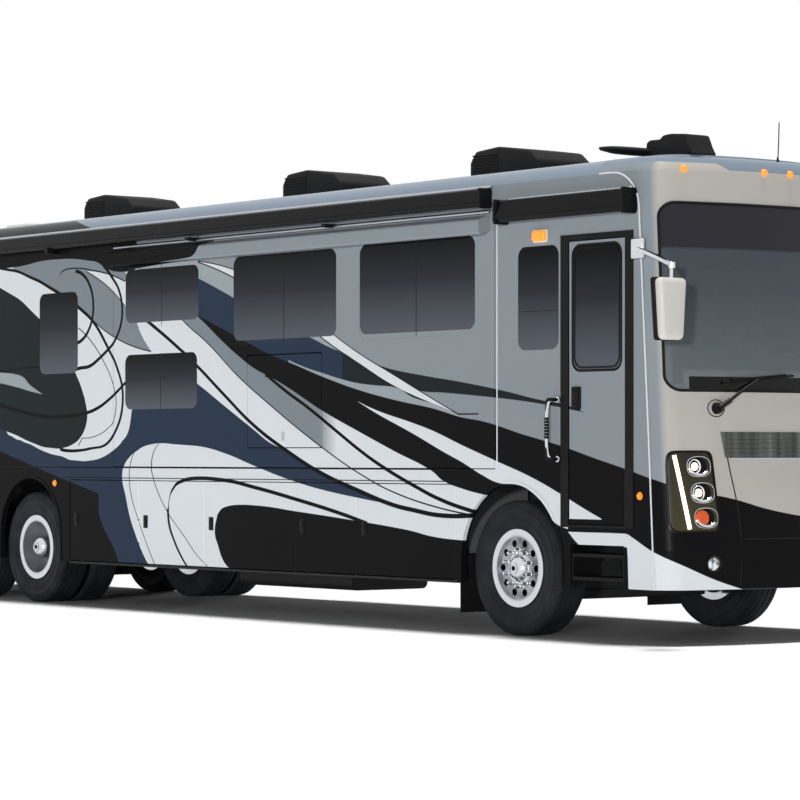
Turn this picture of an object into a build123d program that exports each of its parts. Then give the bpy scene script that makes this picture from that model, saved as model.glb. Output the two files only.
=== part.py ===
"""A three-axle rear-engined motorhome, in millimetres.

+X is forward, +Y is the driver's side (left), +Z is up, and the floor is Z = 0.
The entry door, the long slide-out room and the awnings are on the right side.
"""

import math
import os

from build123d import *

# Main sizes of the vehicle
body_width = 2550.0
half_width = body_width / 2
front_axle_x = 4500.0
wheelbase = 7300.0
tag_spacing = 1220.0
drive_axle_x = front_axle_x - wheelbase
tag_axle_x = drive_axle_x - tag_spacing
front_overhang = 2000.0
nose_x = front_axle_x + front_overhang
rear_overhang = 2480.0
tail_x = tag_axle_x - rear_overhang
cut_overrun = 200.0

# Heights of the body's seams
skirt_bottom_z = 420.0
bay_top_z = 1195.0
belt_z = 1322.0
wall_top_z = 3590.0
roof_z = 3750.0

# Gaps and thicknesses shared by many pieces
seam = 0.5
seat_gap = 0.3
door_gap = 8.0
wall_t = 50.0
skin_t = 40.0
skirt_t = wall_t

# Tyres and rims
tyre_r = 538.0
tyre_w = 312.0
tyre_corner_r = 34.0
tyre_tread_w = 250.0
tyre_bulge_r = 430.0
bead_r = 290.0
bead_w = 240.0
rim_flange_r = 311.0
rim_flange_t = 14.0
rim_bore_r = 60.0
rim_well_r = 252.0
rim_shell_t = 16.0
rim_disc_t = 24.0
hand_hole_r = 29.0
hand_hole_circle_r = 232.0
hand_hole_count = 10
hub_r = 128.0
hub_dome_r = 104.0
hub_dome_h = 60.0
hub_tip_r = 22.0
dome_share = 0.72
front_disc_out = 100.0
front_nose_out = 178.0
drive_nose_out = 140.0
tyre_face_inset = 50.0
front_wheel_y = half_width - tyre_face_inset - tyre_w / 2
dual_spacing = 346.0
axle_z = tyre_r

# Wheel arches cut in the skirts
front_arch_r = 615.0
front_arch_z = 590.0
rear_arch_r = 555.0
rear_arch_z = 655.0
wheel_arches = [
    (front_axle_x, front_arch_z, front_arch_r),
    (drive_axle_x, rear_arch_z, rear_arch_r),
    (tag_axle_x, rear_arch_z, rear_arch_r),
]
arch_lip_w = 26.0
arch_lip_out = 6.0

# Mud flaps, measured back from their axle
flap_t = 10.0
flap_inner_y = 800.0
flap_z = (160.0, 640.0)
front_flap_back = 663.0
tag_flap_back = 600.0

# Chassis
floor_top_z = 1290.0
floor_t = 55.0
floor_bottom_z = floor_top_z - floor_t
rail_y = 430.0
rail_w = 70.0
rail_h = 275.0
rail_bottom_z = floor_bottom_z - rail_h
rail_front_x = nose_x - 460.0
rail_rear_x = tail_x + 200.0
rail_web_t = 10.0
cross_t = 70.0
cross_h = 120.0
cross_count = 10

# Upper walls
wall_rear_x = tail_x + 500.0
wall_nose_rake_share = 0.052
wall_nose_x = front_axle_x + 1628.0
wall_brow_r = 300.0
roof_joint_x = front_axle_x + 1040.0

# Slide-out rooms, one on each side
slide_rear_x = drive_axle_x + 1500.0
slide_front_x = front_axle_x - 200.0
slide_top_z = 3392.0
slide_depth = 800.0
slide_floor_t = 30.0
slide_wall_t = 60.0

# Windows: rear end, front end, sill, head
window_r = 85.0
window_gap = 0.3
glass_t = 8.0
glass_inset = 2.0
bedroom_window = (drive_axle_x + 174.0, drive_axle_x + 872.0, 2220.0, 3001.0)
wall_windows = {
    "bedroom": bedroom_window,
    "galley": (front_axle_x + 90.0, front_axle_x + 582.0, 2262.0, 3077.0),
}
left_wall_windows = {
    "bedroom": bedroom_window,
    "driver": (front_axle_x + 220.0, front_axle_x + 1260.0, 2040.0, 3060.0),
}


def along_slide(rows):
    """A slide's windows, whose ends are given as shares of its length."""
    length = slide_front_x - slide_rear_x
    return {
        name: (slide_rear_x + rear * length, slide_rear_x + front * length, sill, head)
        for name, (rear, front, sill, head) in rows.items()
    }


# Columns: rear end and front end as shares of the slide's length, then sill and head
slide_windows = along_slide(
    {
        "upper_rear": (0.03696, 0.25286, 2621.0, 3208.0),
        "lower_rear": (0.03554, 0.24857, 1847.0, 2386.0),
        "middle": (0.35107, 0.62375, 2407.0, 3244.0),
        "front": (0.6825, 0.95625, 2406.0, 3251.0),
    }
)
left_slide_windows = along_slide(
    {
        "bath": (0.03696, 0.25286, 2621.0, 3208.0),
        "dinette": (0.41071, 0.625, 2200.0, 3100.0),
        "sofa": (0.71429, 0.95625, 2406.0, 3251.0),
    }
)

# Entry door and its frame
frame_rear_x = front_axle_x + 608.0
frame_front_x = front_axle_x + 1445.0
frame_bottom_z = 877.0
frame_top_z = 3142.0
frame_w = 92.0
frame_sill_h = 20.0
entry_t = 50.0
entry_glass_side = 42.0
entry_glass_sill_z = 2093.0
entry_glass_head_z = frame_top_z - frame_w / 2 - entry_glass_side - 2.0
entry_barrel_r = 16.0
entry_pin_r = 8.0

# Luggage bay doors on each side, as shares of the length between the wheel arches
bay_rear_x = drive_axle_x + 732.0
bay_front_x = front_axle_x - 695.0
bay_shares_right = [0.20433, 0.18185, 0.23634, 0.15018, 0.22731]
bay_shares_left = [0.20433, 0.31807, 0.2503, 0.22731]


def door_ends(shares):
    """Each door's rear end and front end, from the rear forwards."""
    ends = [bay_rear_x]
    for share in shares:
        ends.append(ends[-1] + share * (bay_front_x - bay_rear_x) / sum(shares))
    return list(zip(ends[:-1], ends[1:]))


bay_doors_right = door_ends(bay_shares_right)
bay_doors_left = door_ends(bay_shares_left)
bay_door_t = 36.0
barrel_r = 13.0
pin_r = 7.0
bay_floor_t = 20.0
bay_wall_t = 20.0
bay_inner_y = 520.0
bay_door_bottom_z = skirt_bottom_z + 12.0


def extent_box(x, y, z, mode=Mode.ADD):
    """A box from pairs of low and high values."""
    centre = ((x[0] + x[1]) / 2, (y[0] + y[1]) / 2, (z[0] + z[1]) / 2)
    with Locations(centre):
        Box(x[1] - x[0], y[1] - y[0], z[1] - z[0], mode=mode)


def side_plane(y):
    """A sketch plane that faces right, at Y = -y, whose axes are the vehicle's X and Z."""
    return Plane.XZ.offset(y)


def rounded_window(x0, x1, z0, z1, r):
    """A rounded rectangle on a side plane."""
    with Locations(((x0 + x1) / 2, (z0 + z1) / 2)):
        RectangleRounded(x1 - x0, z1 - z0, r)


def plain_rectangle(x0, x1, z0, z1, mode=Mode.ADD):
    """A rectangle on a side plane from its ends."""
    with Locations(((x0 + x1) / 2, (z0 + z1) / 2)):
        Rectangle(x1 - x0, z1 - z0, mode=mode)


def arch_shape(x, z, r, mode=Mode.ADD):
    """A wheel arch on a side plane: a circle, and straight sides below its middle."""
    with Locations((x, z)):
        Circle(r, mode=mode)
    plain_rectangle(x - r, x + r, z - r - cut_overrun, z, mode)


def save(part, name):
    """Writes one finished piece."""
    part.label = name
    export_step(part, f"parts/{name}.step")


os.makedirs("parts", exist_ok=True)


# Front and rear caps: a plan outline of two side lines, two corner arcs and a bowed nose,
# repeated at each height. Crown rows: height, inset of the side, of the nose and of the tail.
nose_lean = 16.0
corner_r = 240.0
rear_lean = 3.0
rear_corner_r = 240.0
crown_rows = [
    (wall_top_z, 0.0, 0.0, 0.0),
    (wall_top_z + 65.0, 35.0, 28.0, 14.0),
    (wall_top_z + 115.0, 130.0, 115.0, 50.0),
    (roof_z, 450.0, 330.0, 110.0),
]
# Nose rows: height, set-back of the nose
nose_rows = [(skirt_bottom_z, 25.0), (720.0, 0.0), (1200.0, 35.0), (wall_top_z, 167.0)]
rear_rows = [(skirt_bottom_z, 40.0), (900.0, 0.0), (wall_top_z, 60.0)]


def cap_outline(z, reach, half, radius, lean, back_x):
    """One closed plan outline whose nose is at X = reach and whose back edge is at back_x."""
    a = math.radians(lean)
    centre_y = half - radius
    tangent_y = centre_y + radius * math.sin(a)
    bow_r = tangent_y / math.sin(a)
    centre_x = reach - bow_r * (1 - math.cos(a)) - radius * math.cos(a)
    tangent_x = centre_x + radius * math.cos(a)
    middle = (math.pi / 2 + a) / 2
    mid_x = centre_x + radius * math.cos(middle)
    mid_y = centre_y + radius * math.sin(middle)
    with BuildSketch(Plane.XY.offset(z)) as outline:
        with BuildLine():
            Line((back_x, half), (back_x, -half))
            Line((back_x, -half), (centre_x, -half))
            ThreePointArc((centre_x, -half), (mid_x, -mid_y), (tangent_x, -tangent_y))
            ThreePointArc((tangent_x, -tangent_y), (reach, 0), (tangent_x, tangent_y))
            ThreePointArc((tangent_x, tangent_y), (mid_x, mid_y), (centre_x, half))
            Line((centre_x, half), (back_x, half))
        make_face()
    return outline.sketch


def cap_solid(rows, front_x, radius, lean, back_x, inset, open_bottom, crown_column=2):
    """The whole volume of a cap, moved in by inset on every side."""
    top_setback = rows[-1][1]
    with BuildPart() as lower:
        for number, (z, setback) in enumerate(rows):
            low = cut_overrun if number == 0 and open_bottom else 0
            reach = front_x - setback - inset
            add(cap_outline(z - low, reach, half_width - inset, radius - inset, lean, back_x))
        loft(ruled=True)
    with BuildPart() as upper:
        for number, row in enumerate(crown_rows):
            z = row[0]
            drop = 0 if number == 0 else inset
            reach = front_x - top_setback - row[crown_column] - inset
            half = half_width - row[1] - inset
            add(cap_outline(z - drop, reach, half, radius - inset, lean, back_x))
        loft()
    with BuildPart() as whole:
        add(lower.part)
        add(upper.part)
    return whole.part


def seam_outline(grow):
    """The right or left wall's outline on a side plane, from the skirt up, grown by grow at the cap's seam."""
    low_x = wall_nose_x + (belt_z - skirt_bottom_z) * wall_nose_rake_share + grow
    top_x = wall_nose_x - (wall_top_z - belt_z) * wall_nose_rake_share + grow
    with BuildSketch() as outline:
        with BuildLine():
            FilletPolyline(
                (wall_rear_x, skirt_bottom_z - cut_overrun),
                (low_x, skirt_bottom_z - cut_overrun),
                (top_x, wall_top_z + grow),
                (wall_rear_x, wall_top_z + grow),
                radius=(0, 0, wall_brow_r, 0),
                close=True,
            )
        make_face()
    return outline.sketch


# Windshield: half width, sill, head, corner radius, and the glass inside the cap's skin
shield_half = half_width - 75.0
shield_sill_z = 1925.0
shield_head_z = 3342.0
shield_r = 110.0
shield_out = 5.0
shield_in = 13.0

# Headlamp outline on the front: outer and inner edge at top and bottom, seen from ahead
lamp_outer_y = half_width - 63.0
lamp_inner_top_y = half_width - 423.0
lamp_inner_bottom_y = half_width - 475.0
lamp_top_z = 1470.0
lamp_bottom_z = 850.0
lamp_corner_r = 55.0
fog_y = half_width - 407.0
fog_z = 617.0
fog_r = 62.0
tail_lamp_y = (half_width - 290.0, half_width - 125.0)
tail_lamp_z = (1050.0, 1750.0)

# Engine door in the rear cap
engine_door_half = half_width - 515.0
engine_door_z = (560.0, 1290.0)
engine_door_t = 40.0


def shield_prism(grow):
    """The windshield's opening, run through the nose."""
    with BuildPart() as prism:
        with BuildSketch(Plane.YZ.offset(front_axle_x + 1180.0)):
            with Locations((0, (shield_sill_z + shield_head_z) / 2)):
                RectangleRounded(
                    2 * (shield_half + grow),
                    shield_head_z - shield_sill_z + 2 * grow,
                    shield_r + grow,
                )
        extrude(amount=front_overhang)
    return prism.part


def lamp_prism(grow):
    """Both headlamps' openings and both fog lamps', run through the nose."""
    with BuildPart() as prism:
        with BuildSketch(Plane.YZ.offset(front_axle_x + 1180.0)):
            for side in (-1, 1):
                with BuildLine():
                    FilletPolyline(
                        (side * (lamp_outer_y + grow), lamp_bottom_z - grow),
                        (side * (lamp_outer_y + grow), lamp_top_z + grow),
                        (side * (lamp_inner_top_y - grow), lamp_top_z + grow),
                        (side * (lamp_inner_bottom_y - grow), lamp_bottom_z - grow),
                        radius=lamp_corner_r,
                        close=True,
                    )
                make_face()
            with Locations((-fog_y, fog_z), (fog_y, fog_z)):
                Circle(fog_r + grow)
        extrude(amount=front_overhang)
    return prism.part


front_outer = cap_solid(nose_rows, nose_x, corner_r, nose_lean, roof_joint_x, 0, False)
front_inner = cap_solid(nose_rows, nose_x, corner_r, nose_lean, roof_joint_x - cut_overrun, skin_t, True)
glass_outer = cap_solid(nose_rows, nose_x, corner_r, nose_lean, roof_joint_x, shield_out, False)
glass_inner = cap_solid(
    nose_rows, nose_x, corner_r, nose_lean, roof_joint_x - cut_overrun, shield_in, True
)

with BuildPart() as front_cap:
    add(front_outer)
    add(front_inner, mode=Mode.SUBTRACT)
    # the side walls and front skirts take the place of the cap behind its seam
    for side in (-1, 1):
        with BuildSketch(Plane.XZ.offset(-side * (half_width + cut_overrun))):
            add(seam_outline(seam))
        extrude(amount=side * (cut_overrun + wall_t + seam), mode=Mode.SUBTRACT)
    add(shield_prism(0), mode=Mode.SUBTRACT)
    add(lamp_prism(0), mode=Mode.SUBTRACT)
save(front_cap.part, "front_cap")

with BuildPart() as windshield:
    add(glass_outer)
    add(glass_inner, mode=Mode.SUBTRACT)
    add(shield_prism(-window_gap), mode=Mode.INTERSECT)
save(windshield.part, "windshield")

with BuildPart() as front_lamps:
    add(glass_outer)
    add(front_inner, mode=Mode.SUBTRACT)
    add(lamp_prism(-window_gap), mode=Mode.INTERSECT)

# Rear cap, built nose-forward and mirrored
rear_reach = -tail_x


def rear_solid(back_x, inset, open_bottom):
    """The whole volume of the rear cap, nose-forward, moved in by inset."""
    return cap_solid(
        rear_rows, rear_reach, rear_corner_r, rear_lean, back_x, inset, open_bottom, 3
    )


rear_outer = rear_solid(-wall_rear_x + seam, 0, False)
rear_inner = rear_solid(-wall_rear_x - cut_overrun, skin_t, True)
rear_lens = rear_solid(-wall_rear_x, shield_out, False)


def tail_lamp_prism(grow):
    """Both tail lamps' openings, run through the rear cap, nose-forward."""
    with BuildPart() as prism:
        with BuildSketch(Plane.YZ.offset(-wall_rear_x)):
            for side in (-1, 1):
                middle = (
                    side * (tail_lamp_y[0] + tail_lamp_y[1]) / 2,
                    (tail_lamp_z[0] + tail_lamp_z[1]) / 2,
                )
                with Locations(middle):
                    RectangleRounded(
                        tail_lamp_y[1] - tail_lamp_y[0] + 2 * grow,
                        tail_lamp_z[1] - tail_lamp_z[0] + 2 * grow,
                        lamp_corner_r,
                    )
        extrude(amount=2 * rear_overhang)
    return prism.part


engine_hinge_x = rear_reach - 21.0
with BuildPart() as rear_cap:
    add(rear_outer)
    add(rear_inner, mode=Mode.SUBTRACT)
    add(tail_lamp_prism(0), mode=Mode.SUBTRACT)
    # opening for the engine door
    extent_box(
        (-wall_rear_x + cut_overrun, rear_reach + cut_overrun),
        (-engine_door_half, engine_door_half),
        engine_door_z,
        mode=Mode.SUBTRACT,
    )
    # the hinge pin across the top of the opening
    with Locations(
        Location((engine_hinge_x, 0, engine_door_z[1] - door_gap - barrel_r), (90, 0, 0))
    ):
        Cylinder(pin_r, 2 * engine_door_half + skin_t)
    mirror(about=Plane.YZ, mode=Mode.REPLACE)
save(rear_cap.part, "rear_cap")

with BuildPart() as engine_door:
    add(rear_outer)
    add(rear_solid(-wall_rear_x - cut_overrun, engine_door_t, True), mode=Mode.SUBTRACT)
    extent_box(
        (-wall_rear_x + cut_overrun, rear_reach + cut_overrun),
        (-engine_door_half + door_gap, engine_door_half - door_gap),
        (engine_door_z[0] + door_gap, engine_door_z[1] - door_gap - barrel_r),
        mode=Mode.INTERSECT,
    )
    hinge_at = Location(
        (engine_hinge_x, 0, engine_door_z[1] - door_gap - barrel_r), (90, 0, 0)
    )
    with Locations(hinge_at):
        Cylinder(barrel_r, 2 * (engine_door_half - door_gap))
        Cylinder(pin_r + seat_gap, 2 * engine_door_half, mode=Mode.SUBTRACT)
    mirror(about=Plane.YZ, mode=Mode.REPLACE)
save(engine_door.part, "engine_door")

with BuildPart() as tail_lamps:
    add(rear_lens)
    add(rear_inner, mode=Mode.SUBTRACT)
    add(tail_lamp_prism(-window_gap), mode=Mode.INTERSECT)
    mirror(about=Plane.YZ, mode=Mode.REPLACE)

# Marker lamps stand on the sides, the brow of the nose and the top of the rear cap
marker_r = 24.0
marker_h = 14.0
side_marker_spots = [(drive_axle_x + 459.0, 1166.0), (front_axle_x + 1517.0, 1127.0)]
with BuildPart() as lamps:
    add(front_lamps.part)
    add(tail_lamps.part)
    for side in (-1, 1):
        for x, z in side_marker_spots:
            with Locations(
                Location((x, side * (half_width + seat_gap + marker_h / 2), z), (90, 0, 0))
            ):
                Cylinder(marker_r, marker_h)
save(lamps.part, "lamps")


# Roof: the crown's profile between the caps
def roof_profile(inset):
    """Half the roof's section is an arc and a slope; the other half mirrors it."""
    edge = [(half_width - row[1] - inset, row[0] - inset) for row in crown_rows]
    low_z = wall_top_z if inset == 0 else wall_top_z - cut_overrun
    with BuildSketch() as profile:
        with BuildLine():
            Line((edge[0][0], low_z), (-edge[0][0], low_z))
            if inset:
                Line((edge[0][0], low_z), edge[0])
                Line((-edge[0][0], low_z), (-edge[0][0], edge[0][1]))
            ThreePointArc(edge[0], edge[1], edge[2])
            Line(edge[2], edge[3])
            Line(edge[3], (-edge[3][0], edge[3][1]))
            Line((-edge[3][0], edge[3][1]), (-edge[2][0], edge[2][1]))
            ThreePointArc(
                (-edge[2][0], edge[2][1]), (-edge[1][0], edge[1][1]), (-edge[0][0], edge[0][1])
            )
        make_face()
    return profile.sketch


with BuildPart() as roof_panel:
    with BuildSketch(Plane.YZ.offset(wall_rear_x + seam)):
        add(roof_profile(0))
    extrude(amount=roof_joint_x - wall_rear_x - 2 * seam)
    with BuildSketch(Plane.YZ.offset(wall_rear_x - cut_overrun)):
        add(roof_profile(skin_t))
    extrude(amount=roof_joint_x - wall_rear_x + 2 * cut_overrun, mode=Mode.SUBTRACT)
save(roof_panel.part, "roof_panel")


# Upper walls, from the belt seam up to the roof
def upper_wall(windows, with_entry):
    """One upper side wall as a flat plate on the right side."""
    with BuildPart() as wall:
        with BuildSketch(side_plane(half_width)):
            add(seam_outline(0))
            plain_rectangle(
                wall_rear_x - cut_overrun,
                nose_x,
                skirt_bottom_z - 2 * cut_overrun,
                belt_z,
                mode=Mode.SUBTRACT,
            )
            plain_rectangle(
                slide_rear_x - door_gap,
                slide_front_x + door_gap,
                belt_z - cut_overrun,
                slide_top_z + door_gap,
                mode=Mode.SUBTRACT,
            )
            if with_entry:
                plain_rectangle(
                    frame_rear_x - seat_gap,
                    frame_front_x + seat_gap,
                    belt_z - cut_overrun,
                    frame_top_z + seat_gap,
                    mode=Mode.SUBTRACT,
                )
        extrude(amount=-wall_t)
        with BuildSketch(side_plane(half_width)):
            for x0, x1, z0, z1 in windows.values():
                rounded_window(x0, x1, z0, z1, window_r)
        extrude(amount=-wall_t, mode=Mode.SUBTRACT)
    return wall.part


def glass_panes(windows, y):
    """The panes of a table of windows, in the plane Y = -y."""
    with BuildPart() as panes:
        with BuildSketch(side_plane(y - glass_inset)):
            for x0, x1, z0, z1 in windows.values():
                rounded_window(
                    x0 + window_gap,
                    x1 - window_gap,
                    z0 + window_gap,
                    z1 - window_gap,
                    window_r - window_gap,
                )
        extrude(amount=-glass_t)
    return panes.part


with BuildPart() as right_wall:
    add(upper_wall(wall_windows, True))
save(right_wall.part, "right_wall")

with BuildPart() as left_wall:
    add(upper_wall(left_wall_windows, False))
    mirror(about=Plane.XZ, mode=Mode.REPLACE)
save(left_wall.part, "left_wall")

with BuildPart() as wall_glass:
    add(glass_panes(wall_windows, half_width))
    add(mirror(glass_panes(left_wall_windows, half_width), about=Plane.XZ, mode=Mode.PRIVATE))
save(wall_glass.part, "wall_glass")


# Skirts: the header strip over the bay doors, the wheel arches and the front and rear corners
def skirt(bay_doors, with_entry):
    """One side's fixed skirt on the right side."""
    bays_rear_x = bay_doors[0][0]
    bays_front_x = bay_doors[-1][1]
    with BuildPart() as piece:
        with BuildSketch(side_plane(half_width)):
            add(seam_outline(0))
            plain_rectangle(
                wall_rear_x - cut_overrun,
                nose_x,
                belt_z - seat_gap,
                roof_z + cut_overrun,
                mode=Mode.SUBTRACT,
            )
            plain_rectangle(
                wall_rear_x - cut_overrun,
                nose_x,
                skirt_bottom_z - 2 * cut_overrun,
                skirt_bottom_z,
                mode=Mode.SUBTRACT,
            )
            plain_rectangle(
                bays_rear_x - door_gap,
                bays_front_x + door_gap,
                skirt_bottom_z - cut_overrun,
                bay_top_z + door_gap,
                mode=Mode.SUBTRACT,
            )
            for x, z, r in wheel_arches:
                arch_shape(x, z, r, Mode.SUBTRACT)
            if with_entry:
                plain_rectangle(
                    frame_rear_x - seat_gap,
                    frame_front_x + seat_gap,
                    frame_bottom_z - seat_gap,
                    belt_z + cut_overrun,
                    mode=Mode.SUBTRACT,
                )
                plain_rectangle(
                    step_rear_x - door_gap,
                    step_front_x + door_gap,
                    skirt_bottom_z - cut_overrun,
                    step_slot_top_z,
                    mode=Mode.SUBTRACT,
                )
        extrude(amount=-skirt_t)
        # lips round the arches, and flaps hung inside the skirt behind them
        for x, z, r in wheel_arches:
            with BuildSketch(side_plane(half_width)):
                arch_shape(x, z, r + arch_lip_w)
                arch_shape(x, z, r, Mode.SUBTRACT)
                plain_rectangle(
                    x - 2 * r, x + 2 * r, z - 2 * r - cut_overrun, skirt_bottom_z, Mode.SUBTRACT
                )
            extrude(amount=arch_lip_out)
        for x in (front_axle_x - front_flap_back, tag_axle_x - tag_flap_back):
            extent_box((x, x + flap_t), (-half_width + skirt_t / 2, -flap_inner_y), flap_z)
    return piece.part


# Power step under the entry door
step_rear_x = frame_rear_x + 122.0
step_front_x = frame_front_x - 115.0
step_slot_top_z = 745.0
step_depth = 300.0
step_tread_t = 26.0
step_lower_z = 470.0
step_upper_z = 650.0
step_cheek_t = 14.0

with BuildPart() as right_skirt:
    add(skirt(bay_doors_right, True))
save(right_skirt.part, "right_skirt")
with BuildPart() as left_skirt:
    add(skirt(bay_doors_left, False))
    mirror(about=Plane.XZ, mode=Mode.REPLACE)
save(left_skirt.part, "left_skirt")

with BuildPart() as entry_step:
    face_y = -half_width + door_gap
    extent_box(
        (step_rear_x, step_front_x),
        (face_y, face_y + step_depth),
        (step_lower_z, step_lower_z + step_tread_t),
    )
    extent_box(
        (step_rear_x, step_front_x),
        (face_y, face_y + step_depth),
        (step_upper_z, step_upper_z + step_tread_t),
    )
    for cheek in (step_rear_x, step_front_x - step_cheek_t):
        extent_box(
            (cheek, cheek + step_cheek_t),
            (face_y, face_y + step_depth),
            (step_lower_z, step_upper_z + step_tread_t),
        )
save(entry_step.part, "entry_step")

# Basement: luggage bays on both sides, with the doors' hinge pins standing in their fronts
def bays(bay_doors):
    """One side's trays, dividers and hinge pins, on the right side."""
    rear_x = bay_doors[0][0]
    front_x = bay_doors[-1][1]
    face_y = -half_width + wall_t + seat_gap
    ends = [rear_x - bay_wall_t] + [door[1] for door in bay_doors]
    with BuildPart() as tray:
        extent_box(
            (rear_x - bay_wall_t, front_x + bay_wall_t),
            (-half_width + pin_r, -bay_inner_y),
            (skirt_bottom_z - bay_floor_t, skirt_bottom_z),
        )
        extent_box(
            (rear_x - bay_wall_t, front_x + bay_wall_t),
            (-bay_inner_y - bay_wall_t, -bay_inner_y),
            (skirt_bottom_z, floor_bottom_z),
        )
        for x in ends:
            extent_box((x, x + bay_wall_t), (face_y, -bay_inner_y), (skirt_bottom_z, floor_bottom_z))
        for door in bay_doors:
            with Locations(
                (
                    door[1] - barrel_r,
                    -half_width + barrel_r,
                    (skirt_bottom_z + bay_top_z + door_gap) / 2,
                )
            ):
                Cylinder(pin_r, bay_top_z + door_gap - skirt_bottom_z)
    return tray.part


with BuildPart() as basement_bays:
    add(bays(bay_doors_right))
    add(mirror(bays(bay_doors_left), about=Plane.XZ, mode=Mode.PRIVATE))
save(basement_bays.part, "basement_bays")


def bay_door(rear_x, front_x):
    """One side-hinged bay door on the right side, its hinge barrel along its front edge."""
    axis = (front_x - barrel_r, -half_width + barrel_r)
    with BuildPart() as door:
        extent_box(
            (rear_x + door_gap, front_x - barrel_r),
            (-half_width, -half_width + bay_door_t),
            (bay_door_bottom_z, bay_top_z),
        )
        height = bay_top_z - bay_door_bottom_z
        with Locations((*axis, (bay_door_bottom_z + bay_top_z) / 2)):
            Cylinder(barrel_r, height)
            Cylinder(pin_r + seat_gap, 2 * height, mode=Mode.SUBTRACT)
    return door.part


for number, (rear_x, front_x) in enumerate(bay_doors_right, start=1):
    save(bay_door(rear_x, front_x), f"bay_door_right_{number}")
for number, (rear_x, front_x) in enumerate(bay_doors_left, start=1):
    with BuildPart() as left_door:
        add(bay_door(rear_x, front_x))
        mirror(about=Plane.XZ, mode=Mode.REPLACE)
    save(left_door.part, f"bay_door_left_{number}")

# House floor with the slides' runners and a cut for the stepwell
floor_rear_x = wall_rear_x - 250.0
floor_front_x = nose_x - 520.0
floor_half = half_width - wall_t - seat_gap
runner_w = 60.0
runner_spots = [-1000.0, 700.0, 2300.0, 4000.0]
slide_bottom_z = belt_z + door_gap
frame_proud = 6.0
frame_depth = 76.0
well_t = 16.0
well_step_rise = 205.0
well_step_run = 260.0
frame_outer_y = -half_width - frame_proud
frame_inner_y = frame_outer_y + frame_depth
well_inner_y = frame_inner_y + well_step_run + well_t
with BuildPart() as house_floor:
    extent_box(
        (floor_rear_x, floor_front_x),
        (-floor_half, floor_half),
        (floor_top_z - floor_t, floor_top_z),
    )
    extent_box(
        (frame_rear_x - seat_gap, frame_front_x + seat_gap),
        (-half_width, well_inner_y + seat_gap),
        (floor_top_z - cut_overrun, floor_top_z + cut_overrun),
        mode=Mode.SUBTRACT,
    )
    for side in (-1, 1):
        for x in runner_spots:
            near = side * (half_width - wall_t - door_gap)
            far = side * (half_width - slide_depth)
            extent_box(
                (x - runner_w / 2, x + runner_w / 2),
                (min(near, far), max(near, far)),
                (floor_top_z, slide_bottom_z - seat_gap),
            )
save(house_floor.part, "house_floor")

# Entry: the black door frame, with the stepwell behind it and the step's hangers below
hanger_drop = 270.0
grab_z = (1405.0, 1868.0)
grab_foot_x = frame_rear_x - 33.0
grab_x = grab_foot_x - 53.0
grab_out = 70.0
grab_r = 13.5
grab_bend_r = 24.0
grab_foot_r = 26.0
grab_foot_t = 9.0
hinge_x = frame_front_x - frame_w - door_gap - entry_barrel_r
hinge_y = -half_width + entry_barrel_r
with BuildPart() as entry_frame:
    extent_box(
        (frame_rear_x, frame_front_x),
        (frame_outer_y, frame_inner_y),
        (frame_bottom_z, frame_top_z),
    )
    extent_box(
        (frame_rear_x + frame_w, frame_front_x - frame_w),
        (frame_outer_y - cut_overrun, frame_inner_y + cut_overrun),
        (frame_bottom_z + frame_sill_h, frame_top_z - frame_w / 2),
        mode=Mode.SUBTRACT,
    )
    # two risers with a tread between them
    tread_z = frame_bottom_z + well_step_rise
    inner_riser_y = frame_inner_y + well_step_run
    extent_box(
        (frame_rear_x, frame_front_x),
        (frame_inner_y, frame_inner_y + well_t),
        (frame_bottom_z, tread_z),
    )
    extent_box(
        (frame_rear_x, frame_front_x),
        (frame_inner_y, inner_riser_y),
        (tread_z, tread_z + well_t),
    )
    extent_box(
        (frame_rear_x, frame_front_x),
        (inner_riser_y, well_inner_y),
        (tread_z, floor_top_z),
    )
    for x in (frame_rear_x, frame_front_x - well_t):
        extent_box((x, x + well_t), (frame_inner_y, well_inner_y), (frame_bottom_z, floor_top_z))
    for x in (step_rear_x - seat_gap - well_t, step_front_x + seat_gap):
        extent_box(
            (x, x + well_t),
            (frame_inner_y, well_inner_y),
            (frame_bottom_z - hanger_drop, tread_z),
        )
    # a grab handle behind the door, on two feet
    for z in grab_z:
        with Locations(
            Location((grab_foot_x, -half_width - seat_gap - grab_foot_t / 2, z), (90, 0, 0))
        ):
            Cylinder(grab_foot_r, grab_foot_t)
    foot_y = -half_width - seat_gap
    with BuildLine() as grab:
        FilletPolyline(
            (grab_foot_x, foot_y, grab_z[1]),
            (grab_foot_x, foot_y - grab_out, grab_z[1]),
            (grab_x, foot_y - grab_out, grab_z[1]),
            (grab_x, foot_y - grab_out, grab_z[0]),
            (grab_foot_x, foot_y - grab_out, grab_z[0]),
            (grab_foot_x, foot_y, grab_z[0]),
            radius=grab_bend_r,
        )
    with BuildSketch(Plane(grab.line @ 0, z_dir=grab.line % 0)):
        Circle(grab_r)
    sweep(path=grab.line)
    # door hinge pin between the sill and the head
    pin_low = frame_bottom_z + frame_sill_h / 2
    pin_high = frame_top_z - frame_w / 4
    with Locations((hinge_x, hinge_y, (pin_low + pin_high) / 2)):
        Cylinder(entry_pin_r, pin_high - pin_low)
save(entry_frame.part, "entry_frame")

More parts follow.
